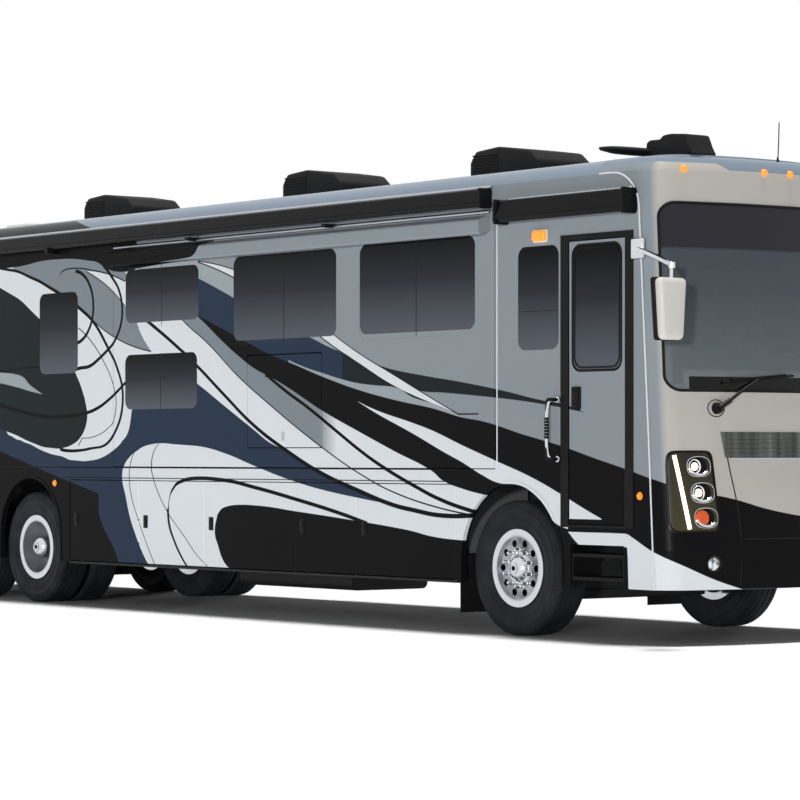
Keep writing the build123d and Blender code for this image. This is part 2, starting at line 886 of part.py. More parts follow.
door_rear_x = frame_rear_x + frame_w + door_gap
door_bottom_z = frame_bottom_z + frame_sill_h + door_gap
door_top_z = frame_top_z - frame_w / 2 - door_gap
entry_glass = (
    door_rear_x + entry_glass_side,
    hinge_x - entry_glass_side + entry_barrel_r,
    entry_glass_sill_z,
    entry_glass_head_z,
)
with BuildPart() as entry_door:
    extent_box(
        (door_rear_x, hinge_x), (-half_width, -half_width + entry_t), (door_bottom_z, door_top_z)
    )
    with Locations((hinge_x, hinge_y, (door_bottom_z + door_top_z) / 2)):
        Cylinder(entry_barrel_r, door_top_z - door_bottom_z)
        Cylinder(entry_pin_r + seat_gap, 2 * (door_top_z - door_bottom_z), mode=Mode.SUBTRACT)
    with BuildSketch(side_plane(half_width)):
        rounded_window(*entry_glass, window_r)
    extrude(amount=-entry_t, mode=Mode.SUBTRACT)
save(entry_door.part, "entry_door")
save(glass_panes({"entry": entry_glass}, half_width), "entry_glass")


# Slide-out rooms
topper_z = (3190.0, 3362.0)
topper_depth = 118.0
topper_r = 44.0
tv_door = (front_axle_x - 3624.0, front_axle_x - 2510.0, 1496.0, 2321.0)
tv_door_t = 26.0
tv_pocket_t = 40.0
tv_barrel_r = 9.0
tv_pin_r = 5.0
topper_overlap = 60.0


def topper(front_x, rear_x, y):
    """The roller case of a slide's awning, its back at Y = -y."""
    z0, z1 = topper_z
    with BuildPart() as case:
        with BuildSketch(Plane.YZ.offset(rear_x)):
            with BuildLine():
                FilletPolyline(
                    (-y, z0 + topper_r),
                    (-y, z1),
                    (-y - topper_depth, z1 - topper_r),
                    (-y - topper_depth, z0),
                    radius=(0, topper_r / 2, topper_r / 2, topper_r / 2),
                    close=True,
                )
            make_face()
        extrude(amount=front_x - rear_x)
    return case.part


def slide_room(windows, with_tv):
    """One room on the right side: an outer wall, a floor, a ceiling and two end walls."""
    x0 = slide_rear_x
    x1 = slide_front_x
    inner_y = -half_width + slide_depth
    with BuildPart() as room:
        extent_box((x0, x1), (-half_width, inner_y), (slide_bottom_z, slide_top_z))
        extent_box(
            (x0 + slide_floor_t, x1 - slide_floor_t),
            (-half_width + slide_wall_t, inner_y + cut_overrun),
            (slide_bottom_z + slide_floor_t, slide_top_z - slide_floor_t),
            mode=Mode.SUBTRACT,
        )
        with BuildSketch(side_plane(half_width)):
            for wx0, wx1, wz0, wz1 in windows.values():
                rounded_window(wx0, wx1, wz0, wz1, window_r)
        extrude(amount=-slide_wall_t, mode=Mode.SUBTRACT)
        if with_tv:
            tx0, tx1, tz0, tz1 = tv_door
            extent_box(
                (tx0, tx1),
                (-half_width - cut_overrun, -half_width + tv_pocket_t),
                (tz0, tz1),
                mode=Mode.SUBTRACT,
            )
            with Locations(
                Location(
                    (
                        (tx0 + tx1) / 2,
                        -half_width + tv_barrel_r,
                        tz1 - door_gap - tv_barrel_r,
                    ),
                    (0, 90, 0),
                )
            ):
                Cylinder(tv_pin_r, tx1 - tx0)
        add(topper(x1 - topper_overlap, x0 + topper_overlap, half_width))
    return room.part


save(slide_room(slide_windows, True), "right_slide_room")
save(glass_panes(slide_windows, half_width), "right_slide_glass")
with BuildPart() as left_slide:
    add(slide_room(left_slide_windows, False))
    mirror(about=Plane.XZ, mode=Mode.REPLACE)
save(left_slide.part, "left_slide_room")
with BuildPart() as left_slide_panes:
    add(glass_panes(left_slide_windows, half_width))
    mirror(about=Plane.XZ, mode=Mode.REPLACE)
save(left_slide_panes.part, "left_slide_glass")

with BuildPart() as media_door:
    tx0, tx1, tz0, tz1 = tv_door
    axis_z = tz1 - door_gap - tv_barrel_r
    extent_box(
        (tx0 + door_gap, tx1 - door_gap),
        (-half_width, -half_width + tv_door_t),
        (tz0 + door_gap, axis_z),
    )
    with Locations(Location(((tx0 + tx1) / 2, -half_width + tv_barrel_r, axis_z), (0, 90, 0))):
        Cylinder(tv_barrel_r, tx1 - tx0 - 2 * door_gap)
        Cylinder(tv_pin_r + seat_gap, tx1 - tx0, mode=Mode.SUBTRACT)
save(media_door.part, "media_door")

# Awnings on the fixed wall: the patio awning's case and the small one over the entry door
patio_x = (drive_axle_x - 1100.0, front_axle_x - 256.0)
patio_z = (3412.0, 3560.0)
patio_depth = 135.0
door_awning_x = (front_axle_x - 20.0, front_axle_x + 1460.0)
door_awning_z = (3272.0, 3452.0)
door_awning_depth = 150.0
case_r = 40.0
case_end_t = 26.0
case_end_r = 24.0


def awning_case(x, z, depth):
    """A long closed case with a round lower lip, on the right wall."""
    with BuildPart() as case:
        with BuildSketch(Plane.YZ.offset(x[0])):
            with BuildLine():
                FilletPolyline(
                    (-half_width - seat_gap, z[0] + case_r),
                    (-half_width - seat_gap, z[1]),
                    (-half_width - depth * 3 / 4, z[1]),
                    (-half_width - depth, z[0] + case_r),
                    (-half_width - depth * 3 / 4, z[0]),
                    radius=(0, 0, case_r / 2, case_r / 2, case_r / 2),
                    close=True,
                )
            make_face()
        extrude(amount=x[1] - x[0])
        # an end cap on each end
        for end_x in (x[0] - case_end_t, x[1]):
            with BuildSketch(Plane.YZ.offset(end_x)):
                with Locations((-half_width - (seat_gap + depth) / 2, (z[0] + z[1]) / 2)):
                    RectangleRounded(depth - seat_gap, z[1] - z[0] + 2 * seat_gap, case_end_r)
            extrude(amount=case_end_t)
    return case.part


with BuildPart() as awnings:
    add(awning_case(patio_x, patio_z, patio_depth))
    add(awning_case(door_awning_x, door_awning_z, door_awning_depth))
save(awnings.part, "awnings")


# Wheels, each turned about its axle line
def wheel_plane(x, y):
    """A sketch plane through an axle line, whose first axis runs along +Y from Y = y."""
    return Plane(origin=(x, y, axle_z), x_dir=(0, 1, 0), z_dir=(1, 0, 0))


def axle_line(x):
    """The line that a wheel at X = x turns about."""
    return Axis((x, 0, axle_z), (0, 1, 0))


def tyre(x, y):
    """A closed tyre ring whose middle plane is at Y = y."""
    bead = (bead_w / 2, rim_flange_r + rim_flange_t)
    bulge = (tyre_w / 2, tyre_bulge_r)
    shoulder = ((tyre_tread_w + tyre_corner_r) / 2, tyre_r - tyre_corner_r)
    tread = (tyre_tread_w / 2, tyre_r)
    with BuildPart() as ring:
        with BuildSketch(wheel_plane(x, y)):
            with BuildLine():
                Line((0, bead_r), (bead[0], bead_r))
                Line((bead[0], bead_r), bead)
                ThreePointArc(bead, bulge, shoulder)
                Line(shoulder, tread)
                Line(tread, (0, tyre_r))
                mirror(about=Plane.YZ)
            make_face()
        revolve(axis=axle_line(x))
    return ring.part


def rim(x, y, disc_y, out, holes=True):
    """A wheel's barrel centred at Y = y and its disc, whose face that looks out is at disc_y."""
    seat = bead_w / 2 + seat_gap
    flange = seat + rim_flange_t
    slope = 2 * rim_shell_t
    with BuildPart() as wheel:
        with BuildSketch(wheel_plane(x, y)):
            with BuildLine():
                Polyline(
                    (0, rim_well_r),
                    (flange, rim_well_r),
                    (flange, rim_flange_r),
                    (seat, rim_flange_r),
                    (seat, bead_r - seat_gap),
                    (seat - slope, bead_r - seat_gap),
                    (seat - 2 * slope, rim_well_r + rim_shell_t),
                    (0, rim_well_r + rim_shell_t),
                )
                mirror(about=Plane.YZ)
            make_face()
        revolve(axis=axle_line(x))
        # the tube from the barrel to the disc, then the disc itself
        tube = sorted((0, disc_y - y))
        with BuildSketch(wheel_plane(x, y)):
            with Locations(((tube[0] + tube[1]) / 2, rim_well_r + rim_shell_t / 2)):
                Rectangle(tube[1] - tube[0], rim_shell_t)
            disc_middle = disc_y - y - out * rim_disc_t / 2
            with Locations((disc_middle, (rim_bore_r + rim_well_r + rim_shell_t) / 2)):
                Rectangle(rim_disc_t, rim_well_r + rim_shell_t - rim_bore_r)
        revolve(axis=axle_line(x))
        if holes:
            with BuildSketch(Plane.XZ.offset(-disc_y)):
                with Locations((x, axle_z)):
                    with PolarLocations(hand_hole_circle_r - hand_hole_r, hand_hole_count):
                        Circle(hand_hole_r)
            extrude(amount=rim_disc_t + seam, both=True, mode=Mode.SUBTRACT)
    return wheel.part


def hub(x, seat_y, nose_y, out):
    """A hollow hub that stands on a disc at seat_y, with a domed cap whose tip is at nose_y."""
    tip = nose_y - seat_y
    brow = tip - out * hub_dome_h
    inside = tip - out * rim_disc_t
    with BuildPart() as piece:
        with BuildSketch(wheel_plane(x, seat_y)):
            with BuildLine():
                Polyline(
                    (tip, hub_tip_r),
                    (tip, 0),
                    (inside, 0),
                    (brow, rim_bore_r),
                    (0, rim_bore_r),
                    (0, hub_r),
                    (brow, hub_dome_r),
                )
                ThreePointArc(
                    (brow, hub_dome_r),
                    (brow + out * hub_dome_h * dome_share, hub_dome_r * dome_share),
                    (tip, hub_tip_r),
                )
            make_face()
        revolve(axis=axle_line(x))
    return piece.part


# Wheel sets: name, axle place, the tyres' middle planes, and the disc's and the hub cap's places
# measured outwards from the outer tyre's middle plane
drive_disc_out = -dual_spacing / 2
drive_planes = [front_wheel_y, front_wheel_y - dual_spacing]
wheel_sets = [
    ("front", front_axle_x, [front_wheel_y], front_disc_out, front_nose_out),
    ("drive", drive_axle_x, drive_planes, drive_disc_out, drive_nose_out),
    ("tag", tag_axle_x, [front_wheel_y], front_disc_out, front_nose_out),
]
for name, x, tyre_planes, disc_out, nose_out in wheel_sets:
    for side_name, side in (("left", 1), ("right", -1)):
        with BuildPart() as tyres:
            for plane_y in tyre_planes:
                add(tyre(x, side * plane_y))
        save(tyres.part, f"{name}_tyre_{side_name}")
        with BuildPart() as rims:
            outer_y = tyre_planes[0]
            disc_y = outer_y + disc_out
            disc_face_y = disc_y + rim_disc_t / 2
            add(rim(x, side * outer_y, side * disc_face_y, side))
            if len(tyre_planes) > 1:
                add(rim(x, side * tyre_planes[1], side * disc_face_y, side, False))
            add(hub(x, side * disc_y, side * (outer_y + nose_out), side))
        save(rims.part, f"{name}_rim_{side_name}")

# Running gear. A wheel turns on a spindle that reaches into its hub
spindle_r = rim_bore_r - seat_gap
spindle_end_gap = 12.0
kingpin_y = front_wheel_y - 139.0
kingpin_r = 24.0
kingpin_h = 250.0
knuckle_w = 96.0
knuckle_h = 150.0
knuckle_gap = 6.0
brake_r = 205.0
brake_w = 46.0
beam_w = 90.0
beam_h = 110.0
beam_drop = 150.0
beam_eye_r = 58.0
beam_eye_h = 90.0
spring_r = 105.0
pedestal_h = 180.0
arm_r = 20.0
arm_reach = 210.0


def spindle_reach(nose_out):
    """How far from the vehicle's middle a spindle reaches inside its hub."""
    return front_wheel_y + nose_out - hub_dome_h - spindle_end_gap


beam_z = axle_z - beam_drop
beam_half = kingpin_y - 4 * beam_eye_r
with BuildPart() as front_axle:
    for side in (-1, 1):
        # beam, its rising end and the eye round the kingpin
        with BuildSketch(Plane.YZ.offset(front_axle_x)):
            with BuildLine():
                Polyline(
                    (0, beam_z - beam_h / 2),
                    (side * beam_half, beam_z - beam_h / 2),
                    (side * (kingpin_y - beam_eye_r), axle_z - beam_eye_h / 2),
                    (side * kingpin_y, axle_z - beam_eye_h / 2),
                    (side * kingpin_y, axle_z + beam_eye_h / 2),
                    (side * (kingpin_y - beam_eye_r), axle_z + beam_eye_h / 2),
                    (side * (beam_half - beam_h / 2), beam_z + beam_h / 2),
                    (0, beam_z + beam_h / 2),
                    close=True,
                )
            make_face()
        extrude(amount=beam_w / 2, both=True)
        with Locations((front_axle_x, side * kingpin_y, axle_z)):
            Cylinder(beam_eye_r, beam_eye_h)
            Cylinder(kingpin_r + seat_gap, beam_eye_h + cut_overrun, mode=Mode.SUBTRACT)
    # a pedestal and an air spring reach up to each rail
    for side in (-1, 1):
        extent_box(
            (front_axle_x - beam_w / 2, front_axle_x + beam_w / 2),
            (side * rail_y - rail_w / 2, side * rail_y + rail_w / 2),
            (beam_z, beam_z + pedestal_h),
        )
        with Locations((front_axle_x, side * rail_y, (beam_z + pedestal_h + rail_bottom_z) / 2)):
            Cylinder(spring_r, rail_bottom_z - beam_z - pedestal_h)
save(front_axle.part, "front_axle")

steer_arm_z = axle_z - kingpin_h / 2 + arm_r
for side_name, side in (("left", 1), ("right", -1)):
    with BuildPart() as knuckle:
        yoke_near = kingpin_y + beam_eye_r + knuckle_gap
        near, far = sorted((side * yoke_near, side * (yoke_near + knuckle_w / 2)))
        extent_box(
            (front_axle_x - knuckle_w / 2, front_axle_x + knuckle_w / 2),
            (near, far),
            (axle_z - kingpin_h / 2, axle_z + kingpin_h / 2),
        )
        # two ears over and under the beam's eye, and the kingpin through them
        ear_h = (kingpin_h - beam_eye_h) / 2 - knuckle_gap
        ear_near, ear_far = sorted((side * kingpin_y, side * yoke_near))
        for ear in (-1, 1):
            ear_z = axle_z + ear * (kingpin_h - ear_h) / 2
            extent_box(
                (front_axle_x - knuckle_w / 2, front_axle_x + knuckle_w / 2),
                (ear_near, ear_far),
                (ear_z - ear_h / 2, ear_z + ear_h / 2),
            )
            with Locations((front_axle_x, side * kingpin_y, ear_z)):
                Cylinder(knuckle_w / 2, ear_h)
        with Locations((front_axle_x, side * kingpin_y, axle_z)):
            Cylinder(kingpin_r, kingpin_h)
        # spindle and brake
        reach = spindle_reach(front_nose_out)
        with Locations(
            Location((front_axle_x, side * (yoke_near + reach) / 2, axle_z), (90, 0, 0))
        ):
            Cylinder(spindle_r, reach - yoke_near)
        brake_y = yoke_near + (knuckle_w + brake_w) / 2
        with Locations(Location((front_axle_x, side * brake_y, axle_z), (90, 0, 0))):
            Cylinder(brake_r, brake_w)
        # steering arm to the rear
        with Locations(
            Location(
                (front_axle_x - arm_reach / 2, side * (kingpin_y + knuckle_w / 4), steer_arm_z),
                (0, 90, 0),
            )
        ):
            Cylinder(arm_r, arm_reach)
    save(knuckle.part, f"knuckle_{side_name}")

# Rear axles: the drive axle's housing with its gear bowl, and the tag axle's tube
housing_r = 75.0
bowl_r = 190.0
bowl_w = 260.0
drum_r = 200.0
drum_w = 120.0
spring_arm_w = 90.0
spring_arm_h = 70.0
spring_reach = 420.0
with BuildPart() as rear_axles:
    axle_rows = [
        (drive_axle_x, spindle_reach(drive_nose_out), bowl_r),
        (tag_axle_x, spindle_reach(front_nose_out), housing_r),
    ]
    for x, reach, middle_r in axle_rows:
        with Locations(Location((x, 0, axle_z), (90, 0, 0))):
            Cylinder(spindle_r, 2 * reach)
            Cylinder(housing_r, 2 * (front_wheel_y - dual_spacing - tyre_w / 2 - drum_w))
            Cylinder(middle_r, bowl_w)
        # trailing arms carry an air spring on each side and end under the rail
        for side in (-1, 1):
            extent_box(
                (x - spring_reach, x + spring_reach),
                (side * rail_y - spring_arm_w / 2, side * rail_y + spring_arm_w / 2),
                (axle_z + housing_r - spring_arm_h / 2, axle_z + housing_r + spring_arm_h / 2),
            )
            arm_top_z = axle_z + housing_r + spring_arm_h / 2
            for end in (-1, 1):
                spring_x = x + end * (spring_reach - spring_r)
                with Locations((spring_x, side * rail_y, (arm_top_z + rail_bottom_z) / 2)):
                    Cylinder(spring_r, rail_bottom_z - arm_top_z)
save(rear_axles.part, "rear_axles")

# Chassis: two channel rails, and cross-members that reach into their hollows
with BuildPart() as chassis_rails:
    for side in (-1, 1):
        extent_box(
            (rail_rear_x, rail_front_x),
            (side * rail_y - rail_w / 2, side * rail_y + rail_w / 2),
            (rail_bottom_z, floor_bottom_z),
        )
        # the channel's hollow faces in
        hollow = sorted((side * (rail_y - rail_w), side * (rail_y + rail_w / 2 - rail_web_t)))
        extent_box(
            (rail_rear_x - cut_overrun, rail_front_x + cut_overrun),
            hollow,
            (rail_bottom_z + rail_web_t, floor_bottom_z - rail_web_t),
            mode=Mode.SUBTRACT,
        )
save(chassis_rails.part, "chassis_rails")

with BuildPart() as cross_members:
    cross_pitch = (rail_front_x - rail_rear_x - cross_t) / (cross_count - 1)
    for number in range(cross_count):
        x = rail_rear_x + number * cross_pitch
        extent_box(
            (x, x + cross_t),
            (-rail_y - rail_w / 2 + rail_web_t, rail_y + rail_w / 2 - rail_web_t),
            (floor_bottom_z - rail_web_t - cross_h, floor_bottom_z - rail_web_t),
        )
save(cross_members.part, "cross_members")

# Engine as one plain block under the rear floor, hung from the rails
engine_x = (tail_x + 420.0, tail_x + 1750.0)
engine_half = 330.0
engine_z = (440.0, rail_bottom_z - 40.0)
engine_mount_w = 90.0
with BuildPart() as engine_block:
    extent_box(engine_x, (-engine_half, engine_half), engine_z)
    for x in engine_x:
        inward = engine_mount_w if x == engine_x[0] else -engine_mount_w
        extent_box(
            sorted((x, x + inward)),
            (-rail_y - rail_w / 2, rail_y + rail_w / 2),
            (engine_z[1] - engine_mount_w, engine_z[1]),
        )
        for side in (-1, 1):
            extent_box(
                sorted((x, x + inward)),
                (side * rail_y - rail_w / 2, side * rail_y + rail_w / 2),
                (engine_z[1], rail_bottom_z),
            )
save(engine_block.part, "engine_block")

# Tank under the middle bays
tank_x = (drive_axle_x + 2370.0, drive_axle_x + 4100.0)
tank_half = 430.0
tank_z = (227.0, 640.0)
tank_corner_r = 60.0
tank_strap_w = 60.0
with BuildPart() as holding_tank:
    with BuildSketch(Plane.YZ.offset(tank_x[0])):
        with Locations((0, (tank_z[0] + tank_z[1]) / 2)):
            RectangleRounded(2 * tank_half, tank_z[1] - tank_z[0], tank_corner_r)
    extrude(amount=tank_x[1] - tank_x[0])
    for x in (tank_x[0] + 2 * tank_strap_w, tank_x[1] - 3 * tank_strap_w):
        for side in (-1, 1):
            extent_box(
                (x, x + tank_strap_w),
                (side * rail_y - tank_strap_w, side * rail_y),
                (tank_z[1] - 2 * tank_strap_w, rail_bottom_z),
            )
save(holding_tank.part, "holding_tank")

# Hitch receiver: a square tube on a cross tube that hangs from the rails
receiver_out = 63.5
receiver_in = 50.8
receiver_z = 376.0
receiver_tip_x = tail_x - 120.0
receiver_pin_r = 7.95
receiver_pin_back = 60.0
hitch_bar = 90.0
with BuildPart() as hitch_receiver:
    bar_x = (rail_rear_x - hitch_bar / 2, rail_rear_x + hitch_bar / 2)
    extent_box(
        bar_x,
        (-rail_y - rail_w / 2, rail_y + rail_w / 2),
        (receiver_z - hitch_bar / 2, receiver_z + hitch_bar / 2),
    )
    for side in (-1, 1):
        extent_box(
            bar_x,
            (side * rail_y - rail_w / 2, side * rail_y + rail_w / 2),
            (receiver_z, rail_bottom_z),
        )
    extent_box(
        (receiver_tip_x, bar_x[0]),
        (-receiver_out / 2, receiver_out / 2),
        (receiver_z - receiver_out / 2, receiver_z + receiver_out / 2),
    )
    extent_box(
        (receiver_tip_x - cut_overrun, bar_x[0]),
        (-receiver_in / 2, receiver_in / 2),
        (receiver_z - receiver_in / 2, receiver_z + receiver_in / 2),
        mode=Mode.SUBTRACT,
    )
    with Locations(
        Location((receiver_tip_x + receiver_pin_back, 0, receiver_z), (90, 0, 0))
    ):
        Cylinder(receiver_pin_r, 2 * receiver_out, mode=Mode.SUBTRACT)
save(hitch_receiver.part, "hitch_receiver")

# Roof equipment
unit_spots = [front_axle_x - 7420.0, front_axle_x - 3990.0, front_axle_x - 1250.0]
unit_l = 920.0
unit_w = 600.0
unit_h = 300.0
unit_r = 34.0
unit_foot_out = 12.0
unit_foot_h = 45.0
louvre_count = 6
louvre_h = 13.0
louvre_pitch = 26.0
louvre_depth = 12.0
louvre_l = 330.0
louvre_inset = 50.0
louvre_low = 75.0
# The shroud's outline: shares of the length, from the rear, and of the height
shroud_shares = [(0, 0), (0, 0.62), (0.08, 0.93), (0.4, 1), (0.86, 0.8), (0.987, 0.5), (1, 0)]


def roof_profile(rear_x, length, height, shares, radius):
    """A side outline that stands on the roof, with its corners rounded."""
    foot_z = roof_z + seat_gap
    points = [(rear_x + across * length, foot_z + up * (height - seat_gap)) for across, up in shares]
    with BuildSketch() as outline:
        with BuildLine():
            FilletPolyline(
                *points, radius=(0, *[radius] * (len(points) - 2), 0), close=True
            )
        make_face()
    return outline.sketch


with BuildPart() as air_units:
    for x in unit_spots:
        rear_x = x - unit_l / 2
        with BuildSketch(side_plane(unit_w / 2)):
            add(roof_profile(rear_x, unit_l, unit_h, shroud_shares, unit_r))
        extrude(amount=-unit_w)
        extent_box(
            (rear_x - unit_foot_out, rear_x + unit_l + unit_foot_out),
            (-unit_w / 2 - unit_foot_out, unit_w / 2 + unit_foot_out),
            (roof_z + seat_gap, roof_z + unit_foot_h),
        )
        # louvres in both sides and the rear end
        for number in range(louvre_count):
            z = roof_z + louvre_low + number * louvre_pitch
            for side in (-1, 1):
                extent_box(
                    (rear_x + louvre_inset, rear_x + louvre_inset + louvre_l),
                    sorted((side * unit_w / 2, side * (unit_w / 2 - louvre_depth))),
                    (z, z + louvre_h),
                    Mode.SUBTRACT,
                )
save(air_units.part, "air_units")

# Roof vents, and the folded satellite dish behind its motor housing
vent_x = tail_x + 1700.0
vent_w = 420.0
vent_h = 50.0
vent_lid_out = 20.0
vent_lid_h = 60.0
vent_lid_r = 24.0
cap_spots = [tail_x + 1100.0, drive_axle_x + 1700.0, front_axle_x - 2600.0]
cap_y = 750.0
cap_r = 50.0
cap_h = 85.0
cap_lid_r = 70.0
dish_x = front_axle_x + 700.0
dish_y = -570.0
dish_r = 300.0
dish_low = 50.0
dish_edge = 80.0
dish_high = 112.0
dish_foot_r = 60.0
motor_x = front_axle_x + 900.0
motor_l = 550.0
motor_w = 260.0
motor_y = -530.0
motor_h = 180.0
motor_r = 16.0
motor_shares = [(0, 0), (0, 0.75), (0.08, 0.82), (0.28, 0.8), (0.36, 1), (0.84, 0.92), (0.93, 0.34), (1, 0)]
dish_arm_r = 32.0
with BuildPart() as roof_fittings:
    with Locations((vent_x, 0, roof_z + seat_gap + vent_h / 2)):
        Box(vent_w, vent_w, vent_h)
    with BuildSketch(Plane.XY.offset(roof_z + vent_h)):
        with Locations((vent_x, 0)):
            RectangleRounded(vent_w + 2 * vent_lid_out, vent_w + 2 * vent_lid_out, vent_lid_r)
    extrude(amount=vent_lid_h)
    for x in cap_spots:
        with Locations((x, cap_y, roof_z + seat_gap + cap_h / 2)):
            Cylinder(cap_r, cap_h)
        with Locations((x, cap_y, roof_z + cap_h)):
            Cylinder(cap_lid_r, cap_h / 4)
    # the dish is a shallow lens on a foot
    with BuildSketch(Plane((dish_x, dish_y, roof_z), x_dir=(1, 0, 0), z_dir=(0, -1, 0))):
        with BuildLine():
            Line((0, seat_gap), (dish_foot_r, seat_gap))
            Line((dish_foot_r, seat_gap), (dish_foot_r, dish_low))
            ThreePointArc(
                (dish_foot_r, dish_low), (dish_r * 2 / 3, (dish_low + dish_edge) / 2 - seat_gap),
                (dish_r, dish_edge),
            )
            ThreePointArc(
                (dish_r, dish_edge), (dish_r / 2, dish_high - (dish_high - dish_edge) / 4),
                (0, dish_high),
            )
            Line((0, dish_high), (0, seat_gap))
        make_face()
    revolve(axis=Axis((dish_x, dish_y, roof_z), (0, 0, 1)))
    with BuildSketch(side_plane(-motor_y + motor_w / 2)):
        add(roof_profile(motor_x, motor_l, motor_h, motor_shares, motor_r))
    extrude(amount=-motor_w)
    with Locations(
        Location(((dish_x + motor_x + motor_w / 2) / 2, dish_y, roof_z + dish_edge), (0, 90, 0))
    ):
        Cylinder(dish_arm_r, motor_x + motor_w / 2 - dish_x)
save(roof_fittings.part, "roof_fittings")

# Mirrors: a bracket on the cap's side, an arm and a head, on both sides
mirror_x = front_axle_x + 2060.0
mirror_y = half_width + 205.0
mirror_head = (120.0, 300.0, 470.0)
mirror_head_z = 2515.0
mirror_corner_r = 45.0
mirror_front_r = 38.0
mirror_recess = 5.0
mirror_rim_w = 14.0
mirror_arm_r = 17.0
mirror_root_x = front_axle_x + 1520.0
mirror_root_z = 2985.0
mirror_pad = (130.0, 26.0, 190.0)
mirror_bend = (front_axle_x + 1960.0, half_width + 195.0, 2890.0)
with BuildPart() as mirrors:
    for side in (-1, 1):
        with BuildPart(mode=Mode.PRIVATE) as head:
            with Locations((mirror_x, side * mirror_y, mirror_head_z)):
                Box(*mirror_head)
            fillet(head.edges().filter_by(Axis.X), mirror_corner_r)
            fillet(head.faces().sort_by(Axis.X)[-1].edges(), mirror_front_r)
            with Locations((mirror_x - mirror_head[0] / 2, side * mirror_y, mirror_head_z)):
                Box(
                    2 * mirror_recess,
                    mirror_head[1] - 2 * mirror_rim_w,
                    mirror_head[2] - 2 * mirror_rim_w,
                    mode=Mode.SUBTRACT,
                )
        add(head.part)
        with Locations(
            (
                mirror_root_x,
                side * (half_width + seat_gap + mirror_pad[1] / 2),
                mirror_root_z,
            )
        ):
            Box(*mirror_pad)
        with BuildLine() as run:
            FilletPolyline(
                (mirror_root_x, side * (half_width + mirror_pad[1]), mirror_root_z),
                (mirror_bend[0], side * mirror_bend[1], mirror_bend[2]),
                (mirror_x, side * mirror_y, mirror_head_z),
                radius=4 * mirror_arm_r,
            )
        with BuildSketch(Plane(run.line @ 0, z_dir=run.line % 0)):
            Circle(mirror_arm_r)
        sweep(path=run.line)
save(mirrors.part, "mirrors")

# Cab: dashboard with the steering wheel, and two seats
dash_half = half_width - 245.0
dash_back_x = nose_x - 640.0
dash_front_x = nose_x - 260.0
dash_top_z = 1830.0
dash_knee_z = 1700.0
dash_r = 50.0
driver_y = 700.0
wheel_r = 225.0
wheel_rim_r = 15.0
wheel_tilt = 55.0
column_r = 32.0
wheel_centre = (dash_back_x - 150.0, driver_y, 2010.0)
with BuildPart() as dashboard:
    with BuildSketch(side_plane(dash_half)):
        with BuildLine():
            FilletPolyline(
                (dash_back_x + 2 * dash_r, floor_top_z),
                (dash_back_x + 2 * dash_r, dash_knee_z - 2 * dash_r),
                (dash_back_x, dash_knee_z),
                (dash_back_x + dash_r, dash_top_z),
                (dash_front_x, dash_top_z),
                (dash_front_x - dash_r, floor_top_z),
                radius=(0, dash_r, dash_r, dash_r, 0, 0),
                close=True,
            )
        make_face()
    extrude(amount=-2 * dash_half)
    wheel_at = Location(wheel_centre, (0, -wheel_tilt, 0))
    with Locations(wheel_at):
        Torus(wheel_r, wheel_rim_r)
        Cylinder(column_r * 2, wheel_rim_r * 2)
        Box(wheel_rim_r, 2 * wheel_r, wheel_rim_r)
        Box(2 * wheel_r, wheel_rim_r, wheel_rim_r)
        with Locations((0, 0, -wheel_r)):
            Cylinder(column_r, 2 * wheel_r)
save(dashboard.part, "dashboard")

seat_x = front_axle_x + 780.0
seat_w = 540.0
seat_l = 520.0
seat_h = 470.0
cushion_t = 150.0
back_t = 140.0
back_h = 760.0
seat_r = 45.0
with BuildPart() as cab_seats:
    for y in (driver_y, -driver_y + 150.0):
        with BuildSketch(side_plane(-y + seat_w / 2)):
            with BuildLine():
                FilletPolyline(
                    (seat_x - seat_l / 2, floor_top_z),
                    (seat_x - seat_l / 2, floor_top_z + seat_h),
                    (seat_x - seat_l / 2 - back_t, floor_top_z + seat_h + back_h),
                    (seat_x - seat_l / 2, floor_top_z + seat_h + back_h),
                    (seat_x - seat_l / 2 + back_t, floor_top_z + seat_h),
                    (seat_x + seat_l / 2, floor_top_z + seat_h),
                    (seat_x + seat_l / 2, floor_top_z + seat_h - cushion_t),
                    (seat_x + seat_l / 4, floor_top_z + seat_h - cushion_t),
                    (seat_x + seat_l / 4, floor_top_z),
                    radius=(0, 0, seat_r, seat_r, seat_r, seat_r, seat_r, 0, 0),
                    close=True,
                )
            make_face()
        extrude(amount=-seat_w)
save(cab_seats.part, "cab_seats")

# Front trim: the slatted grille strip under the windshield
grille_half = half_width - 635.0
grille_slant = 30.0
grille_z = (1421.0, 1614.0)
grille_t = 14.0
grille_r = 20.0
slot_count = 5
slot_h = 17.0
slot_pitch = 33.0
slot_inset = 45.0
nose_face = cap_solid(nose_rows, nose_x + seat_gap, corner_r, nose_lean, roof_joint_x, 0, False)
with BuildPart() as grille:
    with BuildSketch(Plane.YZ.offset(roof_joint_x + cut_overrun)):
        with BuildLine():
            FilletPolyline(
                (-grille_half + grille_slant, grille_z[0]),
                (grille_half - grille_slant, grille_z[0]),
                (grille_half, grille_z[1]),
                (-grille_half, grille_z[1]),
                radius=grille_r,
                close=True,
            )
        make_face()
        with Locations((0, (grille_z[0] + grille_z[1]) / 2)):
            for side in (-1, 1):
                with Locations((side * grille_half / 2, 0)):
                    with GridLocations(0, slot_pitch, 1, slot_count):
                        Rectangle(grille_half - 2 * slot_inset, slot_h, mode=Mode.SUBTRACT)
    extrude(amount=2 * front_overhang)
    add(
        cap_solid(nose_rows, nose_x + grille_t, corner_r, nose_lean, roof_joint_x, 0, False),
        mode=Mode.INTERSECT,
    )
    add(nose_face, mode=Mode.SUBTRACT)
save(grille.part, "grille")


